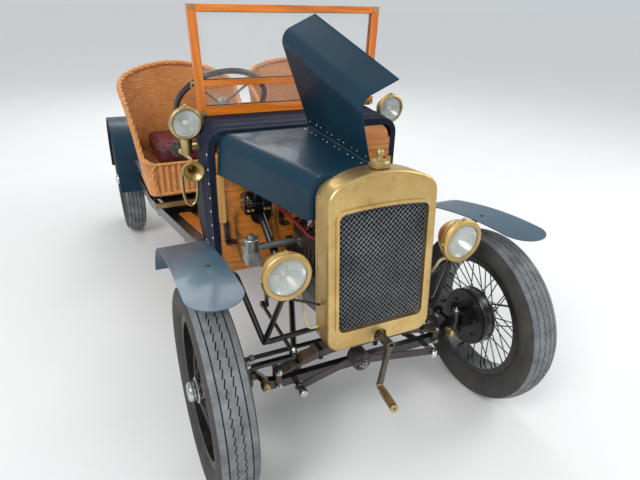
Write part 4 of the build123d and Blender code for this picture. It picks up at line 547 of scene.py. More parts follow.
def make_finishes(look):
    """Every finish that the pieces use."""
    def colour(value):
        return getattr(look, value) if isinstance(value, str) else tint(*value)

    for make, table in ((worn_metal, METALS), (enamel, PAINTS), (varnished, WOODS)):
        for name, first, second, third, *rest in table:
            make(name, colour(first), colour(second), colour(third), *rest)
    rusty("leaf_spring_steel", tint(98, 92, 84), tint(92, 72, 54), (36, 0.72), (0.40, 0.66), 190,
          (0.6, 0.5), (0.3, 0.1, 0.42), (0.0005, 0.6))
    rusty("exhaust_iron", tint(74, 66, 60), tint(116, 66, 38), (22, 0.75), (0.32, 0.62), 260,
          (0.35, 0.3), (0.2, 0.0, 0.6), (0.0007, 0.8))
    rubber("tyre_side", tint(40, 40, 41), tint(104, 98, 90), 0.35)
    rubber("tyre_tread", tint(84, 87, 91), tint(146, 147, 147), 0.75, grain=260)
    rubber("tyre_groove", tint(20, 20, 21), tint(60, 56, 52), 0.3)
    rubber("grip_rubber", tint(24, 23, 22), tint(70, 62, 54), 0.25, grain=500, rough=0.45)
    woven_cane("wicker", look.cane, look.cane_mid, look.cane_dark)
    hide("maroon_leather", look.leather, look.leather_deep, tint(140, 62, 62))
    hide("hood_cloth", tint(20, 32, 56), tint(14, 22, 40), tint(56, 68, 94), 0.46, 0.0, 0.22)
    glassy("clear_glass", tint(236, 242, 240), (16, 6, 0.75, 1.0), (0.42, 0.78), (0.12, 0.02),
           (0.07, 0.045), specular_ior_level=0.6, ior=1.5, coat_roughness=0.02)
    glassy("lamp_lens", tint(232, 238, 240), (22, 2, 0.5, 0.0), (0.40, 0.75), (0.15, 0.05),
           (0.12, 0.16), coat_roughness=0.03)
    glassy("bulb_glass", tint(244, 240, 226), (90, 3, 0.5, 0.0), (0, 1), (0.1, 0.05), (0.3, 0.45))
    # Radiator core: the middle of each cell is painted near black, painted shade down the core's tubes,
    # with lighter cell walls round it.
    core = Finish("core_cells_shaded")
    inside = core.span(core.cells(150, feature="DISTANCE_TO_EDGE"), 0.05, 0.16)
    core.surface(core.mix(inside, tint(24, 24, 26), tint(5, 5, 6)), metallic=0.2,
                 roughness=inside * 0.3 + 0.5, normal=core.bump(inside * -1, 0.002, 0.8))
    leads, shade, _, worn = mixed("wiring_mixed", near_centre, (60, 4, 0.6), (
        (228, 216, 180), (176, 158, 116)), ((176, 22, 24), (112, 10, 14)))
    leads.surface(shade, roughness=worn * 0.2 + 0.35, coat_weight=0.2,
                  normal=leads.bump(leads.noise(500), 0.0002, 0.4))
    wheel, shade, mask, worn = mixed("steering_mixed", inside_rim, (40, 5, 0.6), (
        (34, 27, 24), (20, 17, 16)), ((176, 172, 164), (120, 116, 108)))
    wheel.surface(shade, metallic=mask * 0.95, roughness=worn * 0.2 + 0.25, coat_weight=0.3,
                  normal=wheel.bump(worn, 0.0003, 0.4))


# What each part of the solid model is finished with
SOLIDS = {
    "black_enamel": "body_sills chassis_frame drag_link drop_arm front_axle gearbox_cover knuckle_left"
                    " knuckle_right rear_axle seat_platform steering_column track_rod wing_stays",
    "black_gloss": "plate_bracket regulator_box",
    "blue_enamel": "bonnet_left bonnet_right rear_wing_left rear_wing_right",
    "brass": "bulb_horn headlamps radiator_shell",
    "brass_old": "radiator_cap side_lamps",
    "cast_alloy": "carburettor",
    "clear_glass": "windscreen_glass",
    "core_cells_shaded": "radiator_core",
    "damper_paint": "friction_damper",
    "engine_black": "engine",
    "exhaust_iron": "exhaust",
    "guard_wire": "stone_guard",
    "handle_steel": "starting_handle",
    "lamp_lens": "lamp_glasses",
    "leaf_spring_steel": "leaf_springs",
    "maroon_leather": "seat_cushion_left seat_cushion_right",
    "scuttle_navy": "scuttle",
    "steering_mixed": "steering_wheel",
    "tyre_side": "tyre_front_left tyre_front_right tyre_rear_left tyre_rear_right",
    "wheel_black": "wire_wheel_front_left wire_wheel_front_right wire_wheel_rear_left"
                   " wire_wheel_rear_right",
    "wicker": "wicker_seat_left wicker_seat_right",
    "wing_blue": "front_wing_left front_wing_right",
    "wiring_mixed": "wiring",
    "wood_across": "floor_boards rear_deck",
    "wood_boards": "bulkhead dashboard",
    "wood_frame": "windscreen_frame",
}


def dress_solids():
    """Give each solid its finish."""
    for finish, names in SOLIDS.items():
        for name in names.split():
            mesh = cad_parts[name].data
            mesh.materials.clear()
            mesh.materials.append(finishes[finish])
            for polygon in mesh.polygons:
                polygon.material_index = 0


# Tyres, all sizes in millimetres

BEAD = (33.5, 212.3)
SIDE_WALL = arc((33.5, 226.3), (57, 267.6), (49, 308), 13)
WALL_RINGS = (246.0, 291.0)
CROWN_X, CROWN_R, CROWN_RISE = 49.0, 308.0, 11.0
CROWN_CURVE = (CROWN_X ** 2 + CROWN_RISE ** 2) / (2 * CROWN_RISE)
ZIGZAG = (-2.6, -1.8, -1.0, -0.2, 0.6, 1.4, 2.2, 3.0)

# columns: name, wheel centre x, axle y, outward side
WHEELS = (
    ("front_right", -0.508, FRONT_Y, -1),
    ("front_left", 0.508, FRONT_Y, 1),
    ("rear_right", -0.533, REAR_Y, -1),
    ("rear_left", 0.533, REAR_Y, 1),
)


def crown(px):
    """Radius of the tread at a distance from the tyre's middle plane."""
    return CROWN_R + CROWN_RISE - (CROWN_CURVE - sqrt(CROWN_CURVE * CROWN_CURVE - px * px))


def make_tyre(sizes, place, x, y, outward):
    """Tyre with two plain and two zigzag grooves, notched shoulders and ribbed sides."""
    wide, deep = sizes.groove_width / 2 / MM, sizes.groove_depth / MM
    wall = [BEAD] + SIDE_WALL[:-1]
    rows = []
    for step, turn in enumerate(turns(sizes.tread_repeats * len(ZIGZAG))):
        swing = ZIGZAG[step % len(ZIGZAG)]
        fine = 0.45 if step % 2 else -0.45
        notch = 1.5 if step % 4 < 2 else 0.0
        shoulder = [(CROWN_X, CROWN_R, 0), (CROWN_X - 2.5, crown(CROWN_X - 2.5) - notch, 0),
                    (CROWN_X - 7.5, crown(CROWN_X - 7.5), 0)]
        tread = [(-px, pr, mark) for px, pr, mark in shoulder]
        for centre, shift in ((-31, fine), (-11, swing), (11, swing), (31, fine)):
            mid = centre + shift
            near, far = crown(mid - wide), crown(mid + wide)
            tread += [(mid - wide - 0.4, near, 0), (mid - wide, near - deep, 1),
                      (mid + wide, far - deep, 1), (mid + wide + 0.4, far, 0)]
            if centre < 31:
                tread.append((centre + 10.5, crown(centre + 10.5), 0))
        tread += reversed(shoulder)
        line = [(-px, pr) for px, pr in wall] + [(px, pr) for px, pr, _ in tread] + wall[::-1]
        row = []
        for px, pr in line:
            if pr < 300:
                swell = sum(0.9 * max(0, 1 - abs(pr - ring) / 4) for ring in WALL_RINGS)
                px += swell if px > 0 else -swell
            row.append(Vector((x + outward * px * MM, y + pr * MM * cos(turn),
                               AXLE_Z + pr * MM * sin(turn))))
        rows.append(row)
    grooved = [mark for _, _, mark in tread]

    def finish(column):
        here = column - len(wall)
        if not 0 <= here < len(grooved) - 1:
            return 0
        return 2 if grooved[here] and grooved[here + 1] else 1

    shape = Shape()
    shape.skin(rows, round_rows=True, round_ends=True, finish=finish)
    shape.piece(f"tyre_cover_{place}", "tyre_side tyre_tread tyre_groove", "tyre_rubber",
                f"wheel_{place}", crease=38, nodes=(f"tyre_{place}",))


# Wheels

def make_wheel_fittings(place, x, y, outward):
    """Hub cap, rim beads, spoke nipples, drum bolts and drum ridges of one wheel."""
    centre, out = Vector((x, y, AXLE_Z)), (outward, 0, 0)
    hub = bench(centre, out)
    cap = Shape()
    cap.lathe([(29.6, 45), (30.4, 48), (30.2, 52), (29.4, 56), (29.4, 63), (28.2, 66), (24, 69.6),
               (19, 71.6), (12, 71.9), (0, 72.05)], hub, 40)
    cap.lathe([(38.4, 30), (39.2, 34), (39.2, 43), (37.6, 45.5), (29.4, 45.5)], hub, 40)
    cap.prism([(31.6 * cos(a) * MM, 31.6 * sin(a) * MM) for a in turns(6)],
              aimed(centre, out) @ Matrix.Translation((0, 0, 0.0455)), 0.010, 0.0012)
    cap.piece(f"hub_cap_{place}", "bright", "wheel_rim_black", f"wheel_{place}")
    rim = Shape()
    for side in (-1, 1):
        rim.lathe([(226.4 + 2.4 * cos(a), side * 36.6 + 2.4 * sin(a)) for a in turns(8) + [tau]], hub, 96)
    for row in (9.0, -9.0):
        for index, turn in enumerate(turns(20)):
            depth = row - (3 if index % 2 else 0)
            base = hub @ Vector((207.5 * cos(turn), 207.5 * sin(turn), depth))
            rim.lathe([(4.2, 0), (4.2, 2.0), (3.2, 3.6), (2.9, 13), (2.2, 14.5)],
                      bench(base, hub @ Vector((0, 0, row)) - base), 8)
    for turn in turns(6, 0.26):
        rim.nut(hub @ Vector((82 * cos(turn), 82 * sin(turn), -18)), out, 0.011, 0.006)
    rim.lathe([(104.2, -64), (105.6, -62), (105.6, -58), (104.2, -56)], hub, 72)
    rim.lathe([(104.0, -30), (105.0, -28), (105.0, -22), (104.0, -20)], hub, 72)
    rim.piece(f"rim_fittings_{place}", "wheel_black", "wheel_rim_black", f"wheel_{place}")


# Radiator

RADIATOR = Matrix.Translation((0, FRONT_Y - 0.112, 0.415)) @ Matrix.Rotation(radians(90 - 4), 4, "X")
GUARD_HALF, GUARD_LOW, GUARD_HIGH, GUARD_CORNER = 146.5, 62.5, 441.5, 19


def on_radiator(x, up, out):
    """Point on the radiator in millimetres: across, up along its lean, and out in front of its face."""
    return RADIATOR @ Vector((x * MM, up * MM, out * MM))


def make_stone_guard(sizes):
    """Woven diagonal wire mesh in the radiator opening, in a thin frame."""
    pitch, wire = sizes.guard_pitch / MM, sizes.guard_wire / MM / 2
    mid, tall = (GUARD_LOW + GUARD_HIGH) / 2, (GUARD_HIGH - GUARD_LOW) / 2
    step = pitch * sqrt(0.5)
    count = int((GUARD_HALF + tall) * sqrt(0.5) / pitch) + 1
    shape = Shape()
    for lean in (1, -1):
        for index in range(-count, count + 1):
            # the wire is x = offset + lean * v, with v measured up from the middle
            offset = index * pitch * sqrt(2)
            ends = [(-GUARD_HALF - offset) * lean, (GUARD_HALF - offset) * lean]
            start, end = max(-tall, min(ends)), min(tall, max(ends))
            if end - start < 4:
                continue
            crossings = range(ceil(start / step), int(end // step) + 1)
            path = []
            for v in [start] + [k * step for k in crossings] + [end]:
                crossing = round(v / step)
                over = 0
                if abs(v / step - crossing) < 1e-6 and (crossing + index) % 2 == 0:
                    over = wire * 1.05 * lean * (-1) ** ((crossing + index) // 2 + index)
                x = offset + lean * v
                arch = -8 * (x / GUARD_HALF) ** 2 if v > tall - 9 else 0
                path.append(on_radiator(x, mid + v + arch, -7.5 + over))
            shape.tube(path, wire * MM, sides=5, ends=False)
    shape.piece("stone_guard_mesh", "guard_wire", "guard_wire", crease=80, nodes=("stone_guard",))
    right, top, low = GUARD_HALF - GUARD_CORNER, GUARD_HIGH - GUARD_CORNER - 6, GUARD_LOW + GUARD_CORNER
    line = []
    for cx, cy, start in ((right, top, 0), (-right, top, 90), (-right, low, 180), (right, low, 270)):
        for k in range(7):
            a = radians(start + 15 * k)
            line.append((cx + GUARD_CORNER * cos(a), cy + GUARD_CORNER * sin(a)))
        if start == 0:
            for k in range(1, 12):
                px = right - 2 * right * k / 12
                line.append((px, GUARD_HIGH - 6 + 6 * (1 - (px / GUARD_HALF) ** 2)))
    rim = Shape()
    rim.tube([on_radiator(px, py, -8.5) for px, py in line], 2.6 * MM, sides=6, closed=True)
    rim.piece("stone_guard_rim", "black_enamel", "guard_wire", crease=80)


def make_radiator_trim():
    """Side screws and rolled seams of the radiator shell, and the knurling of its cap."""
    trim = Shape()
    for side in (-1, 1):
        for up in (40, 150, 262, 374, 470):
            trim.dome(on_radiator(side * (180.1 - up * 0.0055), up, -60), (side, 0, 0), 0.0045, 0.0026)
        seam = [on_radiator(side * (180.6 - up * 0.006), up, -74) for up in range(52, 486, 31)]
        trim.tube(seam, 0.0013, sides=6)
    trim.tube([on_radiator(-152 + 304 * k / 16, 0.4, -16) for k in range(17)], 0.0012, sides=6)
    trim.piece("radiator_trim", "brass", "polished_brass")
    cap = Shape()
    place = RADIATOR @ Matrix.Translation((0, 0.540, -0.0425)) @ Matrix.Rotation(radians(-90), 4, "X")
    for a in turns(24):
        spot = place @ Vector((0.0288 * cos(a), 0.0288 * sin(a), 0.0105))
        turned = place.to_3x3().to_4x4() @ Matrix.Rotation(a, 4, "Z")
        cap.slab((-0.0016, -0.0009, -0.0045), (0.0016, 0.0009, 0.0045), 0.0004,
                 Matrix.Translation(spot) @ turned)
    cap.lathe([(0.0300, 0.0045), (0.0312, 0.0058), (0.0312, 0.0070), (0.0300, 0.0078)], place, 40)
    cap.lathe([(0.0225, 0.0), (0.0245, 0.001), (0.0245, 0.004), (0.0225, 0.0055)], place, 40)
    cap.piece("radiator_cap_rim", "brass_old", "polished_brass")


# Lamps

# columns: name, x, front face y, centre z, rim radius, glass radius, depth, metal
LAMPS = (
    ("headlamp_right", -295, -88, 690, 72, 57, 104, "brass"),
    ("headlamp_left", 295, -88, 690, 72, 57, 104, "brass"),
    ("side_lamp_right", -409, 566, 972, 57, 47, 74, "brass_old"),
    ("side_lamp_left", 409, 566, 972, 57, 47, 74, "brass_old"),
)


def make_lamp(name, x, face_y, z, rim, glass, depth, metal):
    """Reflector, bulb, rim roll and clip of one lamp."""
    front = bench(axle(x, face_y, z), (0, -1, 0))
    bowl = arc((8.5, glass - 1.2), (depth * 0.45 - 1.6, glass * 0.62 - 0.6), (depth * 0.7 - 1.0, 9), 14)
    bottom = -(depth * 0.7 - 3)
    mirror = Shape()
    mirror.lathe([(radius, -drop) for drop, radius in bowl] + [(9, bottom), (0, bottom)], front, 48)
    mirror.piece(f"{name}_reflector", "mirror", "polished_brass", crease=60)
    seat = -(depth * 0.7 - 4)
    bulb = Shape()
    bulb.lathe([(7.5, seat), (7.5, seat + 12), (6, seat + 13), (6, seat + 15)], front, 20, finish=1)
    bulb.lathe([(5.5, seat + 14), (8.5, seat + 20), (10.5, seat + 27), (9.5, seat + 33), (6, seat + 37),
                (0, seat + 38.5)], front, 20)
    filament = ((-3, 15), (-3, 26), (0, 29), (3, 26), (3, 15))
    bulb.tube([front @ Vector((px, 0, seat + up)) for px, up in filament], 0.0005, 5, finish=1)
    bulb.piece(f"{name}_bulb", "bulb_glass bright", "clear_glass", crease=50)
    shell = Shape()
    shell.lathe([(glass - 0.4, 0.4), (glass + 0.6, 1.4), (glass + 3.5, 1.7), (glass + 5, 0.6)], front, 56)
    shell.lathe([(rim + 0.2, -8.0), (rim + 1.1, -9.2), (rim + 1.1, -12.8), (rim + 0.2, -14.0)], front, 56)
    shell.lathe([(rim * 0.94, -24), (rim * 0.955, -25), (rim * 0.95, -27), (rim * 0.925, -28.5)], front, 56)
    knob = rim * 0.1
    shell.lathe([(knob + 5, -depth + 5), (knob + 2.5, -depth - 1), (knob - 2, -depth - 2.2),
                 (0, -depth - 2.6)], front, 24)
    shell.slab((-0.005, -0.006, -0.002), (0.005, 0.008, 0.0035), 0.0008,
               Matrix.Translation(front @ Vector((0, rim + 1.5, -10))))
    for side in (-1, 1):
        shell.dome(front @ Vector((side * (rim + 1.0), 0, -11)), (side, 0, 0), 0.0035, 0.0035)
    shell.piece(f"{name}_rim", metal, "polished_brass", crease=45)


# Seats, sizes in millimetres

SEAT_FRONT = 985.0
SEAT_BASE_Z, SEAT_TOP_Z = 571.0, 1082.0
APRON_Z = 704.0
WALL = 9.0
# Shares of the way from the middle of the back to the middle of the front where the tub's plan
# turns: back, back corner, side, front corner
BACK_END, BACK_TURN, SIDE_END, FRONT_TURN = 0.106, 0.384, 0.691, 0.757

# columns: share round the tub, height of its edge
EDGE_LINE = ((0.0, 1070), (0.06, 1068), (0.12, 1060), (0.18, 1046), (0.25, 1026), (0.32, 1001),
             (0.384, 975), (0.44, 952), (0.50, 926), (0.56, 890), (0.61, 850), (0.65, 806),
             (0.68, 762), (0.71, 726), (0.757, 706), (1.0, 704))


def tub_point(share, z):
    """Point on the tub of the seat, and its outward direction.

    The share runs from 0 at the middle of the back to 1 at the middle of the front, and below 0
    on the other side; past 1 it goes on round from there.
    """
    if share > 1:
        share -= 2
    rise = (z - SEAT_BASE_Z) / (SEAT_TOP_Z - SEAT_BASE_Z)
    half = 215 + 69 * rise - WALL
    depth = 430 + 50 * rise - 2 * WALL
    back_r = 120 + 80 * rise - WALL
    front_r = 45 - WALL
    start_y = SEAT_FRONT + WALL
    side = 1 if share >= 0 else -1
    s = abs(share)
    if s <= BACK_END:
        x, y = (half - back_r) * s / BACK_END, start_y + depth
        away = (0.0, 1.0)
    elif s <= BACK_TURN:
        a = pi / 2 * (1 - (s - BACK_END) / (BACK_TURN - BACK_END))
        x, y = half - back_r + back_r * cos(a), start_y + depth - back_r + back_r * sin(a)
        away = (cos(a), sin(a))
    elif s <= SIDE_END:
        t = (s - BACK_TURN) / (SIDE_END - BACK_TURN)
        x, y = half, start_y + depth - back_r + (front_r + back_r - depth) * t
        away = (1.0, 0.0)
    elif s <= FRONT_TURN:
        a = -pi / 2 * (s - SIDE_END) / (FRONT_TURN - SIDE_END)
        x, y = half - front_r + front_r * cos(a), start_y + front_r + front_r * sin(a)
        away = (cos(a), sin(a))
    else:
        x, y = (half - front_r) * (1 - (s - FRONT_TURN) / (1 - FRONT_TURN)), start_y
        away = (0.0, -1.0)
    return Vector((side * x, y, z)), Vector((side * away[0], away[1], 0))


def edge_height(share):
    """Height of the top edge of the seat at a share of the way round."""
    s = abs(share)
    for (s0, z0), (s1, z1) in zip(EDGE_LINE, EDGE_LINE[1:]):
        if s <= s1:
            t = (s - s0) / (s1 - s0)
            t = t * t * (3 - 2 * t) * 0.35 + t * 0.65
            return z0 + (z1 - z0) * t
    return EDGE_LINE[-1][1]


def reach_at(z):
    """Share at which a strand at a height meets the edge, or None above the edge."""
    if z <= APRON_Z:
        return FRONT_TURN
    if edge_height(0) < z + 2:
        return None
    low, high = 0.0, 0.80
    for _ in range(24):
        middle = (low + high) / 2
        if edge_height(middle) > z + 2:
            low = middle
        else:
            high = middle
    return low


def strand(shape, points, shift, high, thick, across):
    """Flat strand along points: its section stands high and is thick across it."""
    rows = []
    for point, away in points:
        rows.append([seat_place(point + across * up + away * out, shift)
                     for up, out in ((high, 0), (0.0, thick), (-high, 0), (0.0, -thick))])
    shape.skin(rows, round_rows=True)


def seat_place(point, shift):
    """Point of the seat in millimetres, as a place in the car."""
    return axle(point.x + shift, point.y, point.z)


def make_tub(sizes, side, shift):
    """Woven wall of cane on its stakes."""
    swing, rib = 1.3, 1.7
    pitch, stakes = sizes.cane_pitch / MM, sizes.stake_count
    weave = Shape()
    for row in range(int((SEAT_TOP_Z - SEAT_BASE_Z) / pitch)):
        z = SEAT_BASE_Z + 4 + row * pitch
        reach = reach_at(z)
        if reach is None:
            continue
        samples = [(-reach, 0.0)]
        count = int(stakes * reach)
        for k in range(-count * 2, count * 2 + 1):
            over = 1 if (k // 2 + row) % 2 else -1
            share = k / 2 / stakes * 2
            if abs(share) <= reach:
                samples.append((share, over * swing if k % 2 == 0 else -rib))
        samples.append((reach, 0.0))
        places = [(tub_point(share, z), lift) for share, lift in samples]
        strand(weave, [(point - away * lift, away) for (point, away), lift in places], shift,
               pitch * 0.55, 1.7, Vector((0, 0, 1)))
    last = int(stakes * FRONT_TURN)
    for k in range(-last, last + 1):
        top = edge_height(k / stakes)
        heights = [SEAT_BASE_Z + (top - SEAT_BASE_Z) * i / 8 for i in range(9)]
        weave.tube([seat_place(tub_point(k / stakes, z)[0], shift) for z in heights], 1.9 * MM,
                   sides=4, ends=False)
    weave.piece(f"wicker_tub_{side}", "wicker", "wicker", crease=85, nodes=(f"wicker_seat_{side}",))


def make_apron(sizes, side, shift):
    """Ribbed apron below the front of the seat."""
    across, rise = 92, 7.0
    low = SEAT_BASE_Z - 4
    rib = sizes.apron_rib / MM
    apron = Shape()
    for row in range(int((706.0 - low) / rise)):
        z = low + 4 + row * rise
        line = []
        for k in range(across + 1):
            point, away = tub_point(0.735 + 0.53 * k / across, max(z, SEAT_BASE_Z))
            wave = cos(tau * point.x / rib) * 3.6 + (0.5 if (k + row) % 2 else -0.5)
            line.append((point + away * wave, away))
        strand(apron, line, shift, 4.1, 2.0, Vector((0, 0, 1)))
    apron.piece(f"wicker_apron_{side}", "wicker", "wicker", crease=85)


def make_pan(side, shift):
    """Woven bottom of the seat, under its cushion."""
    pan = Shape()
    for row in range(44):
        y = SEAT_FRONT + 20 + row * 9.0
        wide = 196 if row < 30 else 196 - (row - 30) ** 2 * 0.42
        line = [(Vector((wide * k / 20, y, 684.0 + (2.2 if (k + row) % 2 else -2.2))), Vector((0, 0, 1)))
                for k in range(-20, 21)]
        strand(pan, line, shift, 4.9, 2.0, Vector((0, 1, 0)))
    pan.piece(f"wicker_pan_{side}", "wicker", "wicker", crease=85)


def make_border(sizes, side, shift):
    """Rolled borders round the edge, down the front corners, round the base and over the apron."""
    def place(share, z):
        return seat_place(tub_point(share, z)[0], shift)

    def foot(end):
        return [place(end * 0.76 * (1 - 0.02 * min(k, 3) / 3), APRON_Z - (APRON_Z - SEAT_BASE_Z) * k / 14)
                for k in range(1, 15)]

    steps = 220
    border = Shape()
    edge = [-0.76 + 2 * 0.76 * i / steps for i in range(steps + 1)]
    braid(border, foot(-1)[::-1] + [place(share, edge_height(share)) for share in edge] + foot(1),
          sizes.border_radius, closed=False)
    braid(border, [place(-1 + 2 * i / steps, SEAT_BASE_Z + 2) for i in range(steps + 1)], 9.0 * MM,
          closed=True)
    braid(border, [place(0.75 + 0.5 * i / 60, 707) for i in range(61)], 7.5 * MM, closed=False)
    border.piece(f"wicker_border_{side}", "wicker", "wicker", crease=60)


def braid(shape, path, radius, closed):
    """Rolled border: three fat strands laid round a core along the path."""
    run_length = 0.0
    strands = [[], [], []]
    for i, (point, side, other) in enumerate(sides_along(path, closed)):
        if i:
            run_length += (point - path[i - 1]).length
        for k in range(3):
            a = run_length / (radius * 5.2) * tau / 1.6 + tau * k / 3
            strands[k].append(point + (side * cos(a) + other * sin(a)) * radius * 0.42)
    for laid in strands:
        shape.tube(laid, radius * 0.64, sides=7, closed=closed)


def make_seat_base(side, shift):
    """Black frame under the seat."""
    base = Shape()
    x0, x1 = (shift - 200) * MM, (shift + 200) * MM
    y0, y1 = FRONT_Y + (SEAT_FRONT + 30) * MM, FRONT_Y + (SEAT_FRONT + 400) * MM
    bar, low, high = 0.03, 0.5453, 0.570
    for left, front, right, back in ((x0, y0, x1, y0 + bar), (x0, y1 - bar, x1, y1),
                                     (x0, y0, x0 + bar, y1), (x1 - bar, y0, x1, y1)):
        base.slab((left, front, low), (right, back, high), 0.003)
    for along in (0.12, 0.37, 0.63, 0.88):
        base.dome(Vector((x0 + (x1 - x0) * along, y0 - 0.0002, 0.558)), (0, -1, 0), 0.005, 0.003)
    base.piece(f"seat_base_{side}", "black_gloss", "black_enamel")


# Cushions, sizes in metres

CUSHION_HALF, CUSHION_DEEP, CUSHION_HIGH, CUSHION_CORNER = 0.172, 0.342, 0.058, 0.048
CUSHION_FLOOR = 0.6928
SWELL_LIMIT = 0.014
TUFTS = [(tx, ty) for ty in (-0.095, 0.0, 0.095) for tx in ((-0.11, 0.0, 0.11) if ty else (-0.055, 0.055))]


def rounded(u, v):
    """Point of a rectangle with round corners, from shares -1 to 1 across and along it."""
    px, py = u * CUSHION_HALF, v * CUSHION_DEEP / 2
    cx, cy = CUSHION_HALF - CUSHION_CORNER, CUSHION_DEEP / 2 - CUSHION_CORNER
    if abs(px) > cx and abs(py) > cy:
        dx, dy = abs(px) - cx, abs(py) - cy
        share = max(dx, dy) / hypot(dx, dy)
        px = (cx + dx * share) * (1 if px > 0 else -1)
        py = (cy + dy * share) * (1 if py > 0 else -1)
    return px, py


def cushion_blank(name, centre):
    """Flat closed pad that the simulation fills, remeshed evenly."""
    cells = 30
    width = cells + 1
    work = bmesh.new()
    top, bottom = [], []
    for j in range(width):
        for i in range(width):
            px, py = rounded(-1 + 2 * i / cells, -1 + 2 * j / cells)
            top.append(work.verts.new(centre + Vector((px, py, CUSHION_HIGH / 2))))
            bottom.append(work.verts.new(centre + Vector((px, py, -CUSHION_HIGH / 2))))
    for j in range(cells):
        for i in range(cells):
            a = j * width + i
            work.faces.new((top[a], top[a + 1], top[a + width + 1], top[a + width]))
            work.faces.new((bottom[a + width], bottom[a + width + 1], bottom[a + 1], bottom[a]))
    edge = ([i for i in range(cells)] + [cells + j * width for j in range(cells)]
            + [cells * width + i for i in range(cells, 0, -1)] + [j * width for j in range(cells, 0, -1)])
    for a, b in zip(edge, edge[1:] + edge[:1]):
        work.faces.new((bottom[a], bottom[b], top[b], top[a]))
    bmesh.ops.recalc_face_normals(work, faces=work.faces)
    mesh = bpy.data.meshes.new(name)
    work.to_mesh(mesh)
    work.free()
    pad = bpy.data.objects.new(name, mesh)
    bpy.context.scene.collection.objects.link(pad)
    for other in bpy.context.selected_objects:
        other.select_set(False)
    pad.select_set(True)
    bpy.context.view_layer.objects.active = pad
    remesh = pad.modifiers.new("remesh", "REMESH")
    remesh.mode = "VOXEL"
    remesh.voxel_size = 0.0065
    bpy.ops.object.modifier_apply(modifier="remesh")
    return pad


def swell(pad, pressure):
    """Fill a pad by cloth simulation."""
    cloth = pad.modifiers.new("cloth", "CLOTH")
    cloth.settings.use_pressure = True
    cloth.settings.uniform_pressure_force = pressure
    cloth.settings.effector_weights.gravity = 0
    cloth.settings.quality = 5
    for moment in range(1, 21):
        bpy.context.scene.frame_set(moment)
    bpy.ops.object.modifier_apply(modifier="cloth")
    bpy.context.scene.frame_set(1)


def hollow(away, width):
    """Depth of a hollow at a distance from its middle, from 1 down to 0."""
    return 2.718 ** (-(away / width) ** 2)


def held(value):
    """A value held between 0 and 1."""
    return max(0.0, min(1.0, value))


def make_cushion(sizes, side, shift):
    """Buttoned leather cushion: filled by simulation, then its tufts and pleats drawn in."""
    centre = Vector((shift * MM, FRONT_Y + (SEAT_FRONT + 212) * MM, 0.7045 + CUSHION_HIGH / 2))
    pad = cushion_blank(f"cushion_{side}", centre)
    start = [vertex.co.copy() for vertex in pad.data.vertices]
    swell(pad, sizes.cushion_pressure)
    front_y = -CUSHION_DEEP / 2
    for vertex, before in zip(pad.data.vertices, start):
        move = vertex.co - before
        if move.length > SWELL_LIMIT:
            vertex.co = before + move.normalized() * SWELL_LIMIT
        local = vertex.co - centre
        on_top = held((local.z + 0.004) / 0.02)
        front = held((-local.y + front_y + 0.052) / 0.03)
        sink = 0.0
        for tx, ty in TUFTS:
            away = hypot(local.x - tx, local.y - ty)
            sink += 0.017 * hollow(away, 0.017) + 0.006 * hollow(away, 0.042)
        for k in range(-2, 3):
            pleat = abs(local.x - k * 0.068)
            sink += 0.009 * front * hollow(pleat, 0.0075)
            if local.y < front_y + 0.010 and abs(local.z) < 0.036:
                vertex.co.y += 0.010 * hollow(pleat, 0.009)
        vertex.co.z -= sink * on_top
        vertex.co.z = max(vertex.co.z, CUSHION_FLOOR)
    subdivide = pad.modifiers.new("smooth", "SUBSURF")
    subdivide.levels = subdivide.render_levels = 1
    bpy.ops.object.modifier_apply(modifier="smooth")
    for vertex in pad.data.vertices:
        vertex.co.z = max(vertex.co.z, CUSHION_FLOOR)
    pad.data.shade_smooth()
    pad.data.materials.append(finishes["maroon_leather"])
    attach(pad, "car_body")
    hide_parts(f"seat_cushion_{side}")
    buttons = Shape()
    for tx, ty in TUFTS:
        x, y = centre.x + tx, centre.y + ty
        top = max((vertex.co.z for vertex in pad.data.vertices
                   if hypot(vertex.co.x - x, vertex.co.y - y) < 0.008), default=0.76)
        buttons.dome(Vector((x, y, top - 0.001)), (0, 0, 1), 0.008, 0.004, steps=14)
    buttons.piece(f"cushion_buttons_{side}", "maroon_leather", "maroon_leather", crease=60)


# Bonnet and scuttle

HINGE_START = axle(0, 18, 945)
HINGE_END = axle(0, 452, 957)
HINGE_RUN = (HINGE_END - HINGE_START).normalized()
RAISED = (Matrix.Translation(HINGE_START) @ Matrix.Rotation(radians(-110.6), 4, HINGE_RUN)
          @ Matrix.Translation(-HINGE_START))
FOLD_RADIUS = 46
# Corners of a closed half's front edge: near the hinge, at the fold, at its low edge
BONNET_HINGE, BONNET_FOLD, BONNET_LOW = Vector((7.5, 946.2)), Vector((187, 928)), Vector((196, 802))


def bonnet_point(side, along, across):
    """Point on a closed half's face: along its hinge and across to its fold, both 0 to 1."""
    fold_x, fold_z = 187 + 143 * along, 928 + 29 * along
    hinge_z = 945 + 12 * along + 1.25
    return axle(side * (7.5 + (fold_x - 7.5) * across), 18 + 434 * along,
                hinge_z + (fold_z - hinge_z) * across)


def bonnet_front(inset):
    """Outline of a closed half's front edge, from near the hinge to its low edge, moved in."""
    first, second = (BONNET_FOLD - BONNET_HINGE).normalized(), (BONNET_LOW - BONNET_FOLD).normalized()
    cut = FOLD_RADIUS * tan(first.angle(second) / 2)
    inward_first, inward_second = Vector((first.y, -first.x)), Vector((second.y, -second.x))
    start, end = BONNET_FOLD - first * cut, BONNET_FOLD + second * cut
    centre = start + inward_first * FOLD_RADIUS
    line = [BONNET_HINGE + (start - BONNET_HINGE) * k / 6 for k in range(1, 7)]
    line += [centre + (-inward_first).slerp(-inward_second, k / 7) * FOLD_RADIUS for k in range(1, 8)]
    line += [end + (BONNET_LOW - end) * k / 5 for k in range(1, 6)]
    made = []
    for k, spot in enumerate(line):
        run = (line[min(k + 1, len(line) - 1)] - line[max(k - 1, 0)]).normalized()
        made.append(spot + Vector((run.y, -run.x)) * inset)
    return made


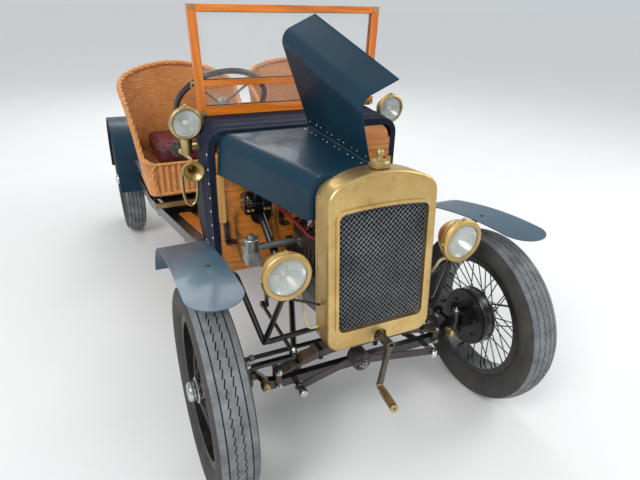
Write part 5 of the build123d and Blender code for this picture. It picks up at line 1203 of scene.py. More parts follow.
def make_bonnet_trim():
    """Hinge rivets, wired lower edges and front edge of the bonnet halves."""
    for (name, side), turn in zip(SIDES, (Matrix.Identity(4), RAISED)):
        rivets = Shape()
        up = Vector((side * 0.06, 0, 1)).normalized()
        for index in range(10):
            spot = bonnet_point(side, 0.04 + 0.9 * (index + 0.25 * (index % 2)) / 9.25, 0.06)
            rivets.dome(turn @ spot, turn.to_3x3() @ up, 0.0034, 0.0018, steps=12)
            rivets.dome(turn @ (spot - up * 0.0026), turn.to_3x3() @ -up, 0.0036, 0.0018, steps=10)
        rivets.piece(f"bonnet_rivets_{name}", "bright", "blue_enamel", f"bonnet_{name}")
        edge = Shape()
        edge.tube([turn @ axle(side * (194.8 + 145 * k / 12), 19.5 + 431 * k / 12, 802.6 + 20 * k / 12)
                   for k in range(13)], 0.0024)
        if name == "right":
            edge.skin([[axle(side * px, y, pz) for px, pz in bonnet_front(inset)] for y, inset in (
                (17.6, 0.0), (14.5, 0.0), (13.2, 2.0), (12.0, 16.0), (11.4, 34.0), (13.0, 34.0))])
        edge.piece(f"bonnet_edge_{name}", "blue_enamel", "blue_enamel", f"bonnet_{name}")


def scuttle_profile(y, out):
    """Outline of the scuttle at y from its low right edge over the top to its low left edge."""
    low, steps = 496.0, 9
    top = 962 + 18 / 194 * (y - 458) + out
    wide, corner = 365 + out, 58 + out
    line = [(-wide, low + (top - corner - low) * k / 14) for k in range(14)]
    for k in range(steps):
        a = pi - pi / 2 * k / (steps - 1)
        line.append((-wide + corner + corner * cos(a), top - corner + corner * sin(a)))
    return line + [(-px, pz) for px, pz in reversed(line)]


# columns: y, how far the cloth stands off the metal
CLOTH_STATIONS = (
    (459.5, 0.6), (461, 2.2), (466, 3.0), (470, 2.0), (488, 1.6), (493, 2.4), (497, 3.8), (502, 4.6),
    (507, 3.8), (511, 2.4), (516, 1.6), (536, 1.6), (541, 2.4), (545, 3.8), (550, 4.6), (555, 3.8),
    (559, 2.4), (564, 1.6), (600, 1.6), (628, 1.4), (632.5, 0.6))


def make_scuttle_cover():
    """Leathercloth over the scuttle with two piped ridges, its edging and its screws."""
    rows = []
    for y, out in CLOTH_STATIONS:
        line = []
        for px, pz in scuttle_profile(y, out):
            tail = 600 + (y - 600) * 0.18 if pz < 740 and y > 600 else y
            sag = 0.35 * sin(px * 0.05 + y * 0.11) * sin(pz * 0.045)
            line.append(axle(px + (0.3 * sag if abs(px) > 360 else 0), tail, pz + sag))
        rows.append(line)
    cover = Shape()
    cover.skin(rows)
    cover.piece("scuttle_cover", "hood_cloth", "blue_enamel", crease=70)
    wrap = Shape()
    wrap.skin([[axle(px, y, pz) for px, pz in scuttle_profile(458, out)]
               for y, out in ((459.5, 0.8), (456.4, 0.8), (455.8, -21), (457.8, -21))])
    wrap.piece("scuttle_wrap", "hood_cloth", "blue_enamel", crease=50)
    edging = Shape()
    edging.tube([axle(px, 460.5, pz) for px, pz in scuttle_profile(460.5, 1.2)], 0.0026)
    edging.piece("scuttle_edging", "scuttle_navy", "blue_enamel", crease=70)
    screws = Shape()
    for side in (-1, 1):
        for k in range(8):
            screws.dome(axle(side * 367.2, 474 + (4 if k % 2 else 0), 520 + 52 * k), (side, 0, 0),
                        0.0040, 0.0022)
        for k in range(4):
            screws.dome(axle(side * 366.8, 520 + 26 * k, 512), (side, 0, 0), 0.0036, 0.0020)
    screws.piece("scuttle_screws", "porcelain", "clear_glass")


# Bulkhead and engine

COLUMN_FOOT = axle(-178, 300, 511)
WHEEL_CENTRE = axle(-215, 850, 990)
COLUMN_RUN = (WHEEL_CENTRE - COLUMN_FOOT).normalized()
# Places of the four plugs along the engine
PLUG_YS = [240 + (index - 1.5) * 72 for index in range(4)]


def make_bulkhead_trim():
    """Edge strips, column plate, control box fittings and clipped pipes on the bulkhead."""
    wood = Shape()
    wood.blocks(0.0015, (-346, 441, 640, -322, 457.8, 816), (322, 441, 640, 346, 457.8, 816))
    wood.piece("bulkhead_edge_strips", "wood_edge", "varnished_wood")
    black = Shape()
    share = (458 - 300) / 550
    black.lathe([(18, 0), (40, 0), (40, 3), (38.5, 4), (21, 4), (19, 8), (16.5, 9)],
                bench(axle(-178 - 37 * share, 457.8, 511 + 479 * share), (0, -1, 0)), 32)
    black.blocks(0.0015, (-330, 446, 560, -312, 457.8, 640), (-330, 430, 556, -290, 457.8, 564),
                 (-120, 440, 600, -104, 457.8, 668), (-120, 428, 600, -84, 457.8, 607))
    for x, z in ((-321, 575), (-321, 625), (-112, 620), (-112, 655)):
        black.dome(axle(x, 440, z), (0, -1, 0), 0.005, 0.003)
    black.piece("bulkhead_brackets", "black_enamel", "black_enamel")
    box = Shape()
    box.lathe([(0, -1), (16, -1), (24, 2), (29, 8), (30.5, 14), (30.5, 30), (31.5, 31), (31.5, 35),
               (30.5, 36), (30.5, 62), (31.5, 63), (31.5, 67), (30.5, 68), (30.5, 80), (28, 88), (20, 93),
               (0, 94)], bench(axle(-260, 428, 722), (1, 0, 0)), 36)
    box.piece("control_box_cover", "black_gloss", "black_enamel", crease=40)
    brass = Shape()
    for x in (-252, -236, -190, -176):
        brass.nut(axle(x, 404.5, 690), (0, -1, 0), 0.009, 0.005, washer=0.006, stud=0.003)
    brass.nut(axle(-262, 428, 722), (-1, 0, 0), 0.012, 0.008, stud=0.006)
    brass.tube(smooth(route((-166, 446, 770), (-150, 448, 740), (-146, 449, 690), (-140, 449, 620),
                            (-128, 444, 540), (-120, 436, 500))), 0.0030)
    brass.tube(smooth(route((-262, 446, 700), (-282, 448, 690), (-290, 449, 640), (-286, 449, 560),
                            (-276, 444, 480))), 0.0026)
    for x, z in ((-147, 705), (-141, 640), (-290, 650), (-287, 590)):
        brass.blocks(0.001, (x - 7, 447, z - 5, x + 7, 457.8, z + 5))
    brass.piece("bulkhead_pipes", "brass_old", "polished_brass")


def make_plugs_and_nuts():
    """Spark plugs in their seats, and the nuts of the cylinder head."""
    china, metal = Shape(), Shape()
    for y in PLUG_YS:
        place = bench(axle(-72, y, 640), (0, 0, 1))
        china.lathe([(7.8, 18), (7.8, 22), (7.3, 23), (7.3, 28), (7.9, 29.5), (7.3, 31), (7.3, 34),
                     (7.9, 35.5), (7.3, 37), (7.3, 42), (4, 45), (0, 45)], place, 20)
        metal.lathe([(9.4, 14.1), (9.4, 17), (7.6, 18.5)], place, 20)
        metal.lathe([(7.5, 44), (7.5, 48.2), (5.5, 50.5), (3.6, 51)], place, 14)
    for x in (-34, 26, 74):
        for y in range(110, 371, 65):
            if (x, y) != (26, 110):
                metal.nut(axle(x, y, 640.2), (0, 0, 1), 0.017, 0.010, washer=0.0105, stud=0.006)
    for y in (108, 372, 240):
        metal.nut(axle(-104, y, 505), (-1, 0, 0), 0.014, 0.007)
    china.piece("plug_porcelain", "porcelain", "engine_black")
    metal.piece("engine_nuts", "zinc", "cast_metal")


def make_castings():
    """Gasket and cast ribs of the engine."""
    gasket = Shape()
    gasket.blocks(0.0006, (-91, 82.4, 594.9, 91, 397.6, 597.2))
    gasket.piece("head_gasket", "brass_old", "engine_black")
    cast = Shape()
    for y in range(96, 385, 48):
        cast.blocks(0.0015, (-88, y - 3, 606, 88, y + 3, 645.5))
    for y in range(104, 377, 34):
        cast.blocks(0.001, (-87.5, y - 2.5, 530, -83.5, y + 2.5, 588),
                    (83.5, y - 2.5, 530, 87.5, y + 2.5, 588))
    cast.blocks(0.003, (-108, 84, 486, -84, 396, 496), (84, 84, 486, 108, 396, 496))
    cast.piece("engine_ribs", "engine_black", "engine_black")


def make_hose():
    """Water hose from the head to the radiator, with its bands."""
    line = smooth(route((30, 110, 668), (30, 110, 712), (26, 98, 770), (14, 60, 832), (4, 26, 864),
                        (0, 3, 874)), 8)
    hose = Shape()
    hose.tube(line, 0.0225, sides=24)
    hose.piece("water_hose", "grip_rubber", "engine_black", crease=60)
    bands = Shape()
    for spot, run in ((line[3], line[5] - line[3]), (line[-5], line[-3] - line[-5])):
        bands.lathe([(22.8, -6), (23.8, -6), (23.8, 6), (22.8, 6)], bench(spot, run), 32)
        bands.nut(spot + Vector((-0.026, 0, 0)), (-1, 0, 0), 0.008, 0.006)
    bands.piece("hose_bands", "zinc", "cast_metal")


def make_carburettor():
    """Caps, flanges, nuts, fuel pipe and throttle rod of the carburettor."""
    body = bench(axle(-267, 332, 522), (0, 0, 1))
    bowl = bench(axle(-267, 368, 522), (0, 0, 1))
    throat = bench(axle(-267, 288, 552), (0, -1, 0))
    carb = Shape()
    for place, steps, outline in (
            (body, 32, ((24.2, 86), (27, 88), (27, 94), (25, 96.5), (14, 99), (12, 108), (7, 111),
                        (0, 111.5))),
            (body, 32, ((24.2, 40), (25.6, 41), (25.6, 45), (24.2, 46))),
            (bowl, 32, ((22.2, 46), (24.5, 47), (24.5, 54), (22, 56.5), (8, 58.5), (7, 64), (0, 65))),
            (bowl, 32, ((22.2, -0.5), (22.2, 3), (23.6, 3.5), (23.6, 6), (22.2, 7))),
            (body, 16, ((0, -7), (7, -7), (9, -4), (9, 0.5))),
            (throat, 32, ((21.2, -6), (23.4, -5), (23.4, 1), (21, 2), (17, 1.5), (15, -6), (8, -7),
                          (0, -7)))):
        carb.lathe(outline, place, steps)
    for side in (-1, 1):
        carb.nut(axle(-95, 332 + side * 26, 580), (-1, 0, 0), 0.012, 0.007, washer=0.008)
        carb.nut(axle(-267 + side * 21, 332, 618), (0, 0, 1), 0.009, 0.004)
    carb.tube(smooth(route((-290, 350, 604), (-296, 372, 600), (-290, 420, 596), (-286, 456, 600))),
              0.0022, sides=6)
    carb.tube(route((-288, 330, 600), (-246, 330, 600)), 0.0035)
    carb.blocks(0.001, (-292, 324, 582, -288, 338, 606))
    carb.piece("carburettor_fittings", "cast_alloy", "cast_metal")


def make_wiring():
    """Spark leads that fan out from the distributor to the plugs, with their caps."""
    caps, leads = Shape(), Shape()
    for index, y in enumerate(PLUG_YS):
        spread = (index - 1.5) * 11
        caps.lathe([(6.2, 0), (6.2, 6), (4.8, 16), (4.0, 22)], bench(axle(-72, y, 690), (0, 0, 1)), 14)
        caps.lathe([(7.0, 0), (7.0, 8), (5.2, 18), (4.0, 22)],
                   bench(axle(40 + spread, 350, 739.6), (0, 0, 1)), 14)
        leads.tube(smooth(route(
            (40 + spread, 350, 756), (20 + spread * 1.6, 366 + index * 4, 778),
            (-70 - index * 3, 404 - index * 3, 766 + index * 4), (-138 - index * 5, 402 - index * 4, 722),
            (-136, (402 + 2 * y) / 3, 692 - index * 3), (-120, y + 8, 676), (-96, y + 2, 696),
            (-78, y, 724), (-72, y, 712)), 7), 0.0036, sides=10)
        caps.dome(axle(-72, y, 716), (0, 0, 1), 0.0078, 0.009, steps=14)
    leads.piece("spark_leads", "lead_red", "lead_rubber", crease=80)
    caps.piece("lead_caps", "grip_rubber", "lead_rubber")
    cover = Shape()
    cover.lathe([(20.4, 0), (20.4, 50), (24, 54), (36.6, 58), (36.8, 64), (35, 80), (29.5, 98), (26, 100.6),
                 (0, 100.8)], bench(axle(40, 350, 640), (0, 0, 1)), 36)
    cover.piece("distributor_cap", "black_gloss", "engine_black", crease=40)


# Front axle

SPRING_RADIUS = 1022


def make_axle_fittings():
    """Bolts of the front axle and its radius rods, and the clips of the spring."""
    bright = Shape()
    for side in (-1, 1):
        bright.lathe([(9.3, -46), (9.3, -26), (13, -24), (14, -18), (14, -6), (15, -4), (15, 3), (12, 8),
                      (6, 10.5), (0, 11)], bench(axle(side * 245, -86, 269), (0, -1, 0)), 28)
        bright.nut(axle(side * 245, -60, 269), (0, 1, 0), 0.022, 0.009)
        for z in (263, 315):
            for face in (-1, 1):
                bright.nut(axle(side * 300, face * 16.4, z), (0, face, 0), 0.017, 0.008, washer=0.010,
                           stud=0.004)
        bright.nut(axle(side * 47, -24, 424.5), (0, 0, 1), 0.014, 0.008, washer=0.010, stud=0.006)
    bright.piece("front_axle_nuts", "bright", "cast_metal")
    clips = Shape()
    for side in (-1, 1):
        for x, leaves in ((158, 4), (236, 2)):
            base = 345 - (SPRING_RADIUS - sqrt(SPRING_RADIUS ** 2 - x ** 2))
            low, high = base - 4, base + 6.5 * leaves + 1.5
            x0, x1 = side * x - 7, side * x + 7
            clips.blocks(0.0008, (x0, -24.5, low, x1, -22, high + 2), (x0, 22, low, x1, 24.5, high + 2),
                         (x0, -24.5, high, x1, 24.5, high + 2.5), (x0, -24.5, low - 2.5, x1, 24.5, low))
        for y in (-27, 27):
            clips.tube(route((side * 38, y, 338), (side * 38, y, 386)), 0.0045, sides=10)
            clips.nut(axle(side * 38, y, 338), (0, 0, -1), 0.015, 0.009)
        clips.blocks(0.0015, (side * 38 - 8, -34, 335, side * 38 + 8, 34, 344.8))
    clips.piece("spring_clips", "black_enamel", "leaf_spring_steel")


def make_damper():
    """Disc edges, star and centre nut of the friction damper, and the unions of the axle."""
    star = Shape()
    hub = bench(axle(-40, -86, 322), (0, -1, 0))
    for level in range(-46, -5, 8):
        star.lathe([(31.2, level - 2.4), (32.6, level - 1.6), (32.6, level + 1.6), (31.2, level + 2.4)],
                   hub, 40)
    for a in turns(5, 0.3):
        place = hub @ Matrix.Rotation(a, 4, "Z")
        rows = [[place @ Vector((r, w * side, h)) for side, h in ((-1, 0.4), (-1, 3.0), (1, 3.0), (1, 0.4))]
                for r, w in ((4, 5), (14, 5.5), (22, 4.2), (28.5, 2.6))]
        star.skin(rows, round_rows=True)
        star.lid(rows[-1])
    star.piece("damper_star", "damper_paint", "damper_paint")
    centre = Shape()
    centre.nut(axle(-40, -88.5, 322), (0, -1, 0), 0.021, 0.011, washer=0.014, stud=0.007)
    centre.piece("damper_nut", "zinc", "damper_paint")
    unions = Shape()
    for side in (-1, 1):
        place = bench(axle(side * 352, -22, 296), (0, -1, 0))
        unions.lathe([(6, -14), (9, -12), (9, 4), (13, 6), (14.5, 12), (14.5, 26), (13, 30), (8, 33),
                      (0, 34)], place, 24)
        unions.nut(place @ Vector((0, 0, 33)), (0, -1, 0), 0.010, 0.006)
    unions.piece("axle_unions", "brass_old", "polished_brass", crease=40)


def make_steering_fittings():
    """Nuts of the steering rods, kingpin caps and nuts, and the rims of the brake backplates."""
    joint = Shape()
    joint.nut(axle(-245, 0, 370), (0, 0, 1), 0.016, 0.006, washer=0.011, stud=0.005)
    joint.piece("drag_arm_nut", "bright", "cast_metal", "steering_right")
    ends = Shape()
    for side in (-1, 1):
        ends.lathe([(8.5, 0), (11.5, 2), (11.5, 14), (8.5, 16)],
                   bench(axle(side * 346, 95, 303), (side, 0, 0)), 16)
    ends.piece("track_rod_nuts", "zinc", "black_enamel", "track_rod")
    for name, side in SIDES:
        pin = Shape()
        pin.lathe([(13, 0), (13, 5), (10, 8), (4.5, 8.5), (3.5, 13), (4.5, 16), (0, 17.5)],
                  bench(axle(side * 395, 0, 354.2), (0, 0, 1)), 20)
        pin.nut(axle(side * 395, 0, 283.8), (0, 0, -1), 0.022, 0.010, washer=0.014)
        pin.nut(axle(side * 395, 95, 283.8), (0, 0, -1), 0.018, 0.009, washer=0.012, stud=0.005)
        pin.piece(f"kingpin_nuts_{name}", "bright", "cast_metal", f"steering_{name}")
        plate = Shape()
        face = bench(axle(side * 441.3, 0, 319), (-side, 0, 0))
        plate.lathe([(103.4, 0.4), (104.2, 2.4), (103, 8.4), (99, 9.4), (94, 8.8)], face, 64)
        for a in turns(6, 0.35):
            plate.nut(face @ Vector((70 * cos(a), 70 * sin(a), 8.6)), (-side, 0, 0), 0.012, 0.005,
                      washer=0.008)
        plate.piece(f"backplate_rim_{name}", "black_enamel", "black_enamel", f"steering_{name}")


def make_starting_handle():
    """Forged strap, hub and worn grip round the starting handle."""
    top, low, end = route((0, -165, 436), (-27, -172, 294), (-49, -290, 312))
    steel = Shape()
    steel.lathe([(9, -30), (14.5, -28), (14.5, 0), (14.5, 12), (9, 14)],
                bench(axle(0, -160, 436), (0, -1, 0)), 24)
    place, length = aimed(top, low - top), (low - top).length
    steel.solid([[place @ Vector((wide * cos(a), thick * sin(a), length * share)) for a in turns(12)]
                 for share, wide, thick in (
                     (0.0, 0.013, 0.0086), (0.08, 0.012, 0.0086), (0.5, 0.0098, 0.0084),
                     (0.9, 0.0112, 0.0086), (1.0, 0.012, 0.0086))])
    steel.piece("handle_strap", "handle_steel", "polished_brass", crease=50)
    reach = (end - low).length / MM
    grip = Shape()
    grip.lathe([(8.2, 4), (11, 5), (12.4, 9), (11, 12), (10, 14), (10, 22), (12.2, 30), (12.8, 60),
                (12.6, reach - 12), (11, reach - 4), (12.8, reach - 3), (12.8, reach), (11, reach + 1.6),
                (5, reach + 1.6), (4, reach - 1), (0, reach - 1)], bench(low, end - low), 28)
    grip.piece("handle_grip", "brass_old", "polished_brass", crease=40)


# Windscreen, controls and horn

def screen_half(z):
    """Half the width of the windscreen's frame at a height."""
    return 350 + 13 * (z - 980) / 364


def make_windscreen_trim():
    """Glazing strips, thumb screws and corner plates of the windscreen."""
    seal = Shape()
    for low, high in ((1012, 1082), (1102, 1321)):
        near, far = screen_half(low) - 29, screen_half(high) - 29
        corners = [(-near, low), (near, low), (far, high), (-far, high)]
        for y in (642.5, 651.5):
            seal.tube([axle(x0 + (x1 - x0) * k / 6, y, z0 + (z1 - z0) * k / 6)
                       for (x0, z0), (x1, z1) in zip(corners, corners[1:] + corners[:1]) for k in range(6)],
                      0.0021, sides=6, closed=True)
    seal.piece("glazing_strips", "black_enamel", "black_enamel")
    brass = Shape()
    for side in (-1, 1):
        for z in (1092, 996):
            place = bench(axle(side * screen_half(z) - side * 0.2, 647, z), (side, 0, 0))
            brass.lathe([(10.5, 0), (10.5, 1.5), (8.5, 2.4), (5, 2.6), (5, 8), (6.5, 9), (6.5, 13),
                         (4, 14.5), (0, 14.8)], place, 20)
            for wing in (-1, 1):
                rows = [[place @ Vector((t, wing * w, h)) for t, h in (
                    (-1.1, 9.5), (1.1, 9.5), (1.1, top), (-1.1, top))]
                    for w, top in ((4, 13), (8, 14.5), (11, 17), (13, 17.5), (14, 16))]
                brass.skin(rows, round_rows=True)
                brass.lid(rows[-1])
        for z, y in ((985, 632.5), (1330, 633)):
            half = screen_half(z)
            low, high = sorted((side * (half - 1), side * (half - 26)))
            brass.blocks(0.0006, (low, y, z - 3, high, 634.2, z + 12))
            for k in (6, 20):
                brass.dome(axle(side * (half - k), y, z + 4.5), (0, -1, 0), 0.0028, 0.0014)
    brass.piece("windscreen_fittings", "brass_old", "polished_brass")


def make_controls():
    """Boss cap and finger grips of the steering wheel, and the instruments of the dash."""
    place = bench(WHEEL_CENTRE, COLUMN_RUN)
    cap = Shape()
    cap.lathe([(27.3, -20), (28, -18), (28, -6), (26, -1), (20, 1.6), (18, 5), (14, 9), (6, 11.5), (0, 12)],
              place, 36)
    cap.piece("steering_boss_cap", "brass_old", "polished_brass", "steering_wheel", crease=40)
    rim = Shape()
    for a in turns(48, tau / 96):
        rim.dome(place @ Vector((177.0 * cos(a), 177.0 * sin(a), -5.6)),
                 place.to_3x3() @ Vector((-0.55 * cos(a), -0.55 * sin(a), -0.85)), 0.0072, 0.0066, steps=8)
    rim.piece("wheel_finger_grips", "grip_rubber", "black_enamel", "steering_wheel")
    dash, glass = Shape(), Shape()
    for x, r in ((-60, 34), (60, 34), (170, 24)):
        origin = axle(x, 647.2, 900)
        face = bench(origin, (0, 1, 0))
        dash.lathe([(r + 4, 0), (r + 4, 5), (r + 2, 8), (r - 2, 8.4), (r - 3, 5), (r - 3, 1.5), (0, 1.5)],
                   face, 36)
        glass.lathe([(r - 3, 3), (r - 4, 4.4), (0, 6)], face, 30)
        for k in range(9):
            dash.slab((r * 0.62 * MM, -0.0006, 0.0014), (r * 0.78 * MM, 0.0006, 0.0022), 0.0002,
                      aimed(origin, (0, 1, 0)) @ Matrix.Rotation(radians(-120 + 30 * k) + pi / 2, 4, "Z"))
    dash.piece("dash_instruments", "brass_old", "polished_brass", crease=40)
    glass.piece("instrument_glasses", "lamp_lens", "clear_glass")


HORN_X = -407
# The horn's tube from its bell, round its loop, to its bulb: from the horn's middle, back, up
HORN_LOOP = (
    (0, 596, 815), (-2, 608, 814), (-15, 616, 806), (-25, 617, 782), (-27, 616, 742), (-25, 616, 702),
    (-17, 616, 670), (0, 616, 656), (17, 616, 670), (25, 616, 702), (27, 616, 742), (26, 618, 782),
    (23, 626, 806), (16, 648, 822), (5, 684, 828), (0, 716, 828), (0, 754, 828))


def make_horn():
    """Flared bell, long loop, rings and ribbed rubber bulb of the horn."""
    throat = bench(axle(HORN_X, 602, 815), (0, -1, 0))
    bulb_place = bench(axle(HORN_X, 752, 828), (0, 1, 0))
    flare = [(6 + 30 * (k / 16) ** 3.0, 80 * k / 16) for k in range(17)]
    roll = [(36 + 2 * sin(pi * k / 5), 81 - 2 * cos(pi * k / 5)) for k in range(1, 6)]
    inside = [(max(r - 1.6, 2.6), z) for r, z in reversed(flare[5:])]
    brass = Shape()
    brass.lathe(flare + roll + inside + [(0, 26)], throat, 56)
    brass.tube(smooth([axle(HORN_X + dx, y, z) for dx, y, z in HORN_LOOP]),
               lambda share: 0.0060 - 0.0008 * share, sides=16)
    brass.lathe([(5.6, 0), (7.6, 0.6), (7.6, 13.4), (5.6, 14)],
                bench(axle(HORN_X + 27, 616, 754), (0, 0, 1)), 24)
    brass.blocks(0.001, (HORN_X + 31, 612, 757, -365.2, 620, 765))
    brass.lathe([(5.2, -26), (9.5, -24), (9.5, -20), (7.5, -18), (7.5, -12), (10.5, -10), (10.5, -6),
                 (7, -5)], bulb_place, 28)
    brass.lathe([(5.8, 6), (8.4, 5), (8.4, -1), (6, -3)], throat, 28)
    brass.piece("horn_brass", "brass_old", "polished_brass", crease=40, nodes=("bulb_horn",))
    outline = [(9, -8), (11, -4), (14, 0)]
    for k in range(13):
        a = -pi / 2 + 0.55 + (pi - 0.55) * k / 12
        outline.append((31.0 * cos(a) + 0.02, 27 + 31.0 * sin(a)))
    bulb = Shape()
    bulb.lathe(outline, bulb_place, 40)
    bulb.lathe([(30.8, 24), (31.8, 26), (31.8, 28), (30.8, 30)], bulb_place, 40)
    bulb.piece("horn_bulb", "grip_rubber", "black_enamel", crease=50)


# Underside and rear

def make_floor_trim():
    """Metal nosing along the front of the seat base, and boards along the floor's edges."""
    (x0, front, _), (x1, _, top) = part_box("seat_platform")
    left, right = x0 + 0.004, x1 - 0.004
    strip = Shape()
    strip.slab((left, front - 0.0018, top - 0.018), (right, front + 0.0004, top + 0.0014), 0.0008)
    strip.slab((left, front - 0.0018, top - 0.0002), (right, front + 0.016, top + 0.0014), 0.0006)
    for k in range(9):
        x = x0 + 0.04 + (x1 - x0 - 0.08) * k / 8
        strip.dome((x, front - 0.0018, top - 0.009), (0, -1, 0), 0.0032, 0.0016)
    strip.piece("seat_base_nosing", "brass_old", "varnished_wood")
    last = (front - FRONT_Y) / MM - 3
    board = Shape()
    for side in (-1, 1):
        rows = []
        for y, half in ((600, 383.9), (700, 410), (last, 410 + (last - 700) * 0.1818)):
            rows.append([axle(side * (half - inset), y, z) for inset, z in (
                (44, 490.1), (44, 492.6), (45, 493.4), (95, 493.4), (95, 490.1))])
        board.solid(rows)
    board.piece("floor_edge_boards", "wood_across", "varnished_wood")


def make_rear_axle_bolts():
    """Cover, ring bolts and spring bolts of the rear axle."""
    black = Shape()
    for side in (-1, 1):
        ring = bench(Vector((side * 0.046, REAR_Y, AXLE_Z)), (side, 0, 0))
        black.lathe([(96.3, -6), (100, -5), (100, -0.5), (96.3, 0.2)], ring, 56)
        for a in turns(10):
            black.nut(ring @ Vector((91 * cos(a), 91 * sin(a), -0.5)), (side, 0, 0), 0.012, 0.007)
        x = side * 0.3187
        for y in (-22, 22):
            for dx in (-27, 27):
                spot = Vector((x + dx * MM, REAR_Y + y * MM, 0.3))
                black.tube([spot, spot + Vector((0, 0, 0.082))], 0.0045)
                black.nut(spot + Vector((0, 0, 0.006)), (0, 0, -1), 0.015, 0.009)
            black.slab((x - 0.032, REAR_Y + y * MM - 0.005, 0.3725),
                       (x + 0.032, REAR_Y + y * MM + 0.005, 0.3795), 0.001)
    black.lathe([(40, 70), (58, 82), (60, 92), (54, 98), (30, 101), (10, 102), (8, 106), (0, 107)],
                bench(Vector((0, REAR_Y, AXLE_Z)), (0, 1, 0)), 36)
    black.piece("rear_axle_bolts", "black_enamel", "black_enamel")


def make_tail():
    """Silencer bands, plate rim and bolts, and corner plates of the deck."""
    bands = Shape()
    tail = bench(axle(205, 1050, 330), (0, 1, 0))
    for level in (18, 206, 398):
        bands.lathe([(42.2, level - 6), (43.6, level - 5), (43.6, level + 5), (42.2, level + 6)], tail, 40)
    bands.lathe([(17.2, -60), (21, -58), (21, -46), (17.2, -44)], tail, 24)
    bands.lathe([(42, 0), (30, -6), (18, -9)], tail, 40)
    bands.lathe([(42, 420), (30, 426), (18, 429)], tail, 40)
    bands.piece("silencer_bands", "exhaust_iron", "exhaust_iron")
    plate = Shape()
    plate.tube([axle(x, 2333.2, z) for x, z in (
        (-118, 573), (0, 573), (118, 573), (124, 579), (124, 620), (124, 661), (118, 667), (0, 667),
        (-118, 667), (-124, 661), (-124, 620), (-124, 579))], 0.0016, sides=6, closed=True)
    for x in (-100, 100):
        plate.nut(axle(x, 2333.1, 620), (0, 1, 0), 0.011, 0.006, washer=0.008)
    plate.piece("plate_trim", "zinc", "cast_metal")
    corners = Shape()
    for side in (-1, 1):
        low, high = sorted((side * 440.6, side * 438))
        for y in (1662, 2300):
            corners.blocks(0.0008, (low, y, 520, high, y + 28, 692))
            for z in (540, 605, 670):
                corners.dome(axle(side * 440.6, y + 14, z), (side, 0, 0), 0.004, 0.002)
    corners.blocks(0.0004, (-440, 2329.6, 520, -412, 2330.7, 692), (412, 2329.6, 520, 440, 2330.7, 692))
    corners.piece("deck_corner_plates", "black_enamel", "black_enamel")


def make_wing_trim():
    """Stay bolts of the front wings and rolled edges of the rear ones."""
    for name, side in SIDES:
        bolts = Shape()
        bolts.dome(axle(side * 480, 45, 699.3), (0, 0, 1), 0.0075, 0.0030, steps=14)
        for x in (470, 520):
            bolts.nut(axle(side * x, 45, 689.8), (0, 0, -1), 0.012, 0.006)
        bolts.piece(f"front_wing_bolts_{name}", "black_enamel", "cast_metal")
        beads = Shape()
        radius = 0.3732
        for x in (471.5, 601.6):
            angles = [radians(-2 + 175 * k / 40) for k in range(41)]
            beads.tube([Vector((side * x * MM, REAR_Y + radius * cos(a), AXLE_Z + radius * sin(a)))
                        for a in angles], 0.0026)
        beads.piece(f"rear_wing_beads_{name}", "blue_enamel", "blue_enamel")


# Stage

def make_floor():
    """Pale floor that isn't part of the car."""
    floor = Finish("pale_floor")
    specks = floor.noise(3, 5, 0.6)
    floor.surface(floor.mix(specks, tint(226, 226, 224), tint(232, 232, 230)),
                  roughness=specks * 0.1 + 0.8)
    reach, lines = 60.0, 8
    places = [-reach + 2 * reach * i / lines for i in range(lines + 1)]
    shape = Shape()
    shape.skin([[Vector((x, y, -0.0006)) for x in places] for y in places])
    mesh = bpy.data.meshes.new("studio_floor")
    mesh.from_pydata([tuple(point) for point in shape.points], [], shape.faces)
    mesh.materials.append(finishes["pale_floor"])
    ground = bpy.data.objects.new("studio_floor", mesh)
    bpy.context.scene.collection.objects.link(ground)


def make_air(look):
    """Even light, with a pale backdrop for the camera, for reflections and through glass."""
    world = bpy.data.worlds.new("studio_air")
    bpy.context.scene.world = world
    world.use_nodes = True
    nodes, links = world.node_tree.nodes, world.node_tree.links
    nodes.clear()
    end, pick = nodes.new("ShaderNodeOutputWorld"), nodes.new("ShaderNodeMixShader")
    for slot, colour, strength in ((1, look.sky, look.sky_strength), (2, tint(200, 205, 209), 1.0)):
        light = nodes.new("ShaderNodeBackground")
        light.inputs["Color"].default_value = (*colour, 1)
        light.inputs["Strength"].default_value = strength
        links.new(light.outputs[0], pick.inputs[slot])
    rays = nodes.new("ShaderNodeLightPath")
    seen = rays.outputs["Is Camera Ray"]
    for kind in ("Is Glossy Ray", "Is Transmission Ray"):
        either = nodes.new("ShaderNodeMath")
        either.operation = "MAXIMUM"
        links.new(seen, either.inputs[0])
        links.new(rays.outputs[kind], either.inputs[1])
        seen = either.outputs[0]
    links.new(seen, pick.inputs[0])
    links.new(pick.outputs[0], end.inputs["Surface"])


# columns: name, place, aim, width, share of the key lamp's power
STUDIO_LAMPS = (
    ("key_lamp", (-3.4, -3.2, 4.6), (0, -0.3, 0.5), 2.6, 1.0),
    ("side_lamp", (4.2, -1.6, 3.4), (0, 0, 0.6), 2.4, 0.45),
    ("back_lamp", (0.8, 4.4, 4.0), (0, 0, 0.6), 2.6, 0.5),
)
# The camera as it was fitted to the photograph: angles in radians, place in metres
YAW, PITCH, ROLL = 0.441, 0.450, 0.025
CAMERA_PLACE = (-0.720, -2.240, 1.373)
FOCAL_PIXELS, FRAME_PIXELS, SENSOR_WIDTH = 503.5, 640, 36


def make_lights(look):
    """Soft round lamps."""
    for name, place, aim, width, share in STUDIO_LAMPS:
        data = bpy.data.lights.new(name, "AREA")
        data.shape = "DISK"
        data.size = width
        data.energy = look.key_power * share
        lamp = bpy.data.objects.new(name, data)
        lamp.location = place
        lamp.rotation_euler = (Vector(aim) - Vector(place)).to_track_quat("-Z", "Y").to_euler()
        bpy.context.scene.collection.objects.link(lamp)


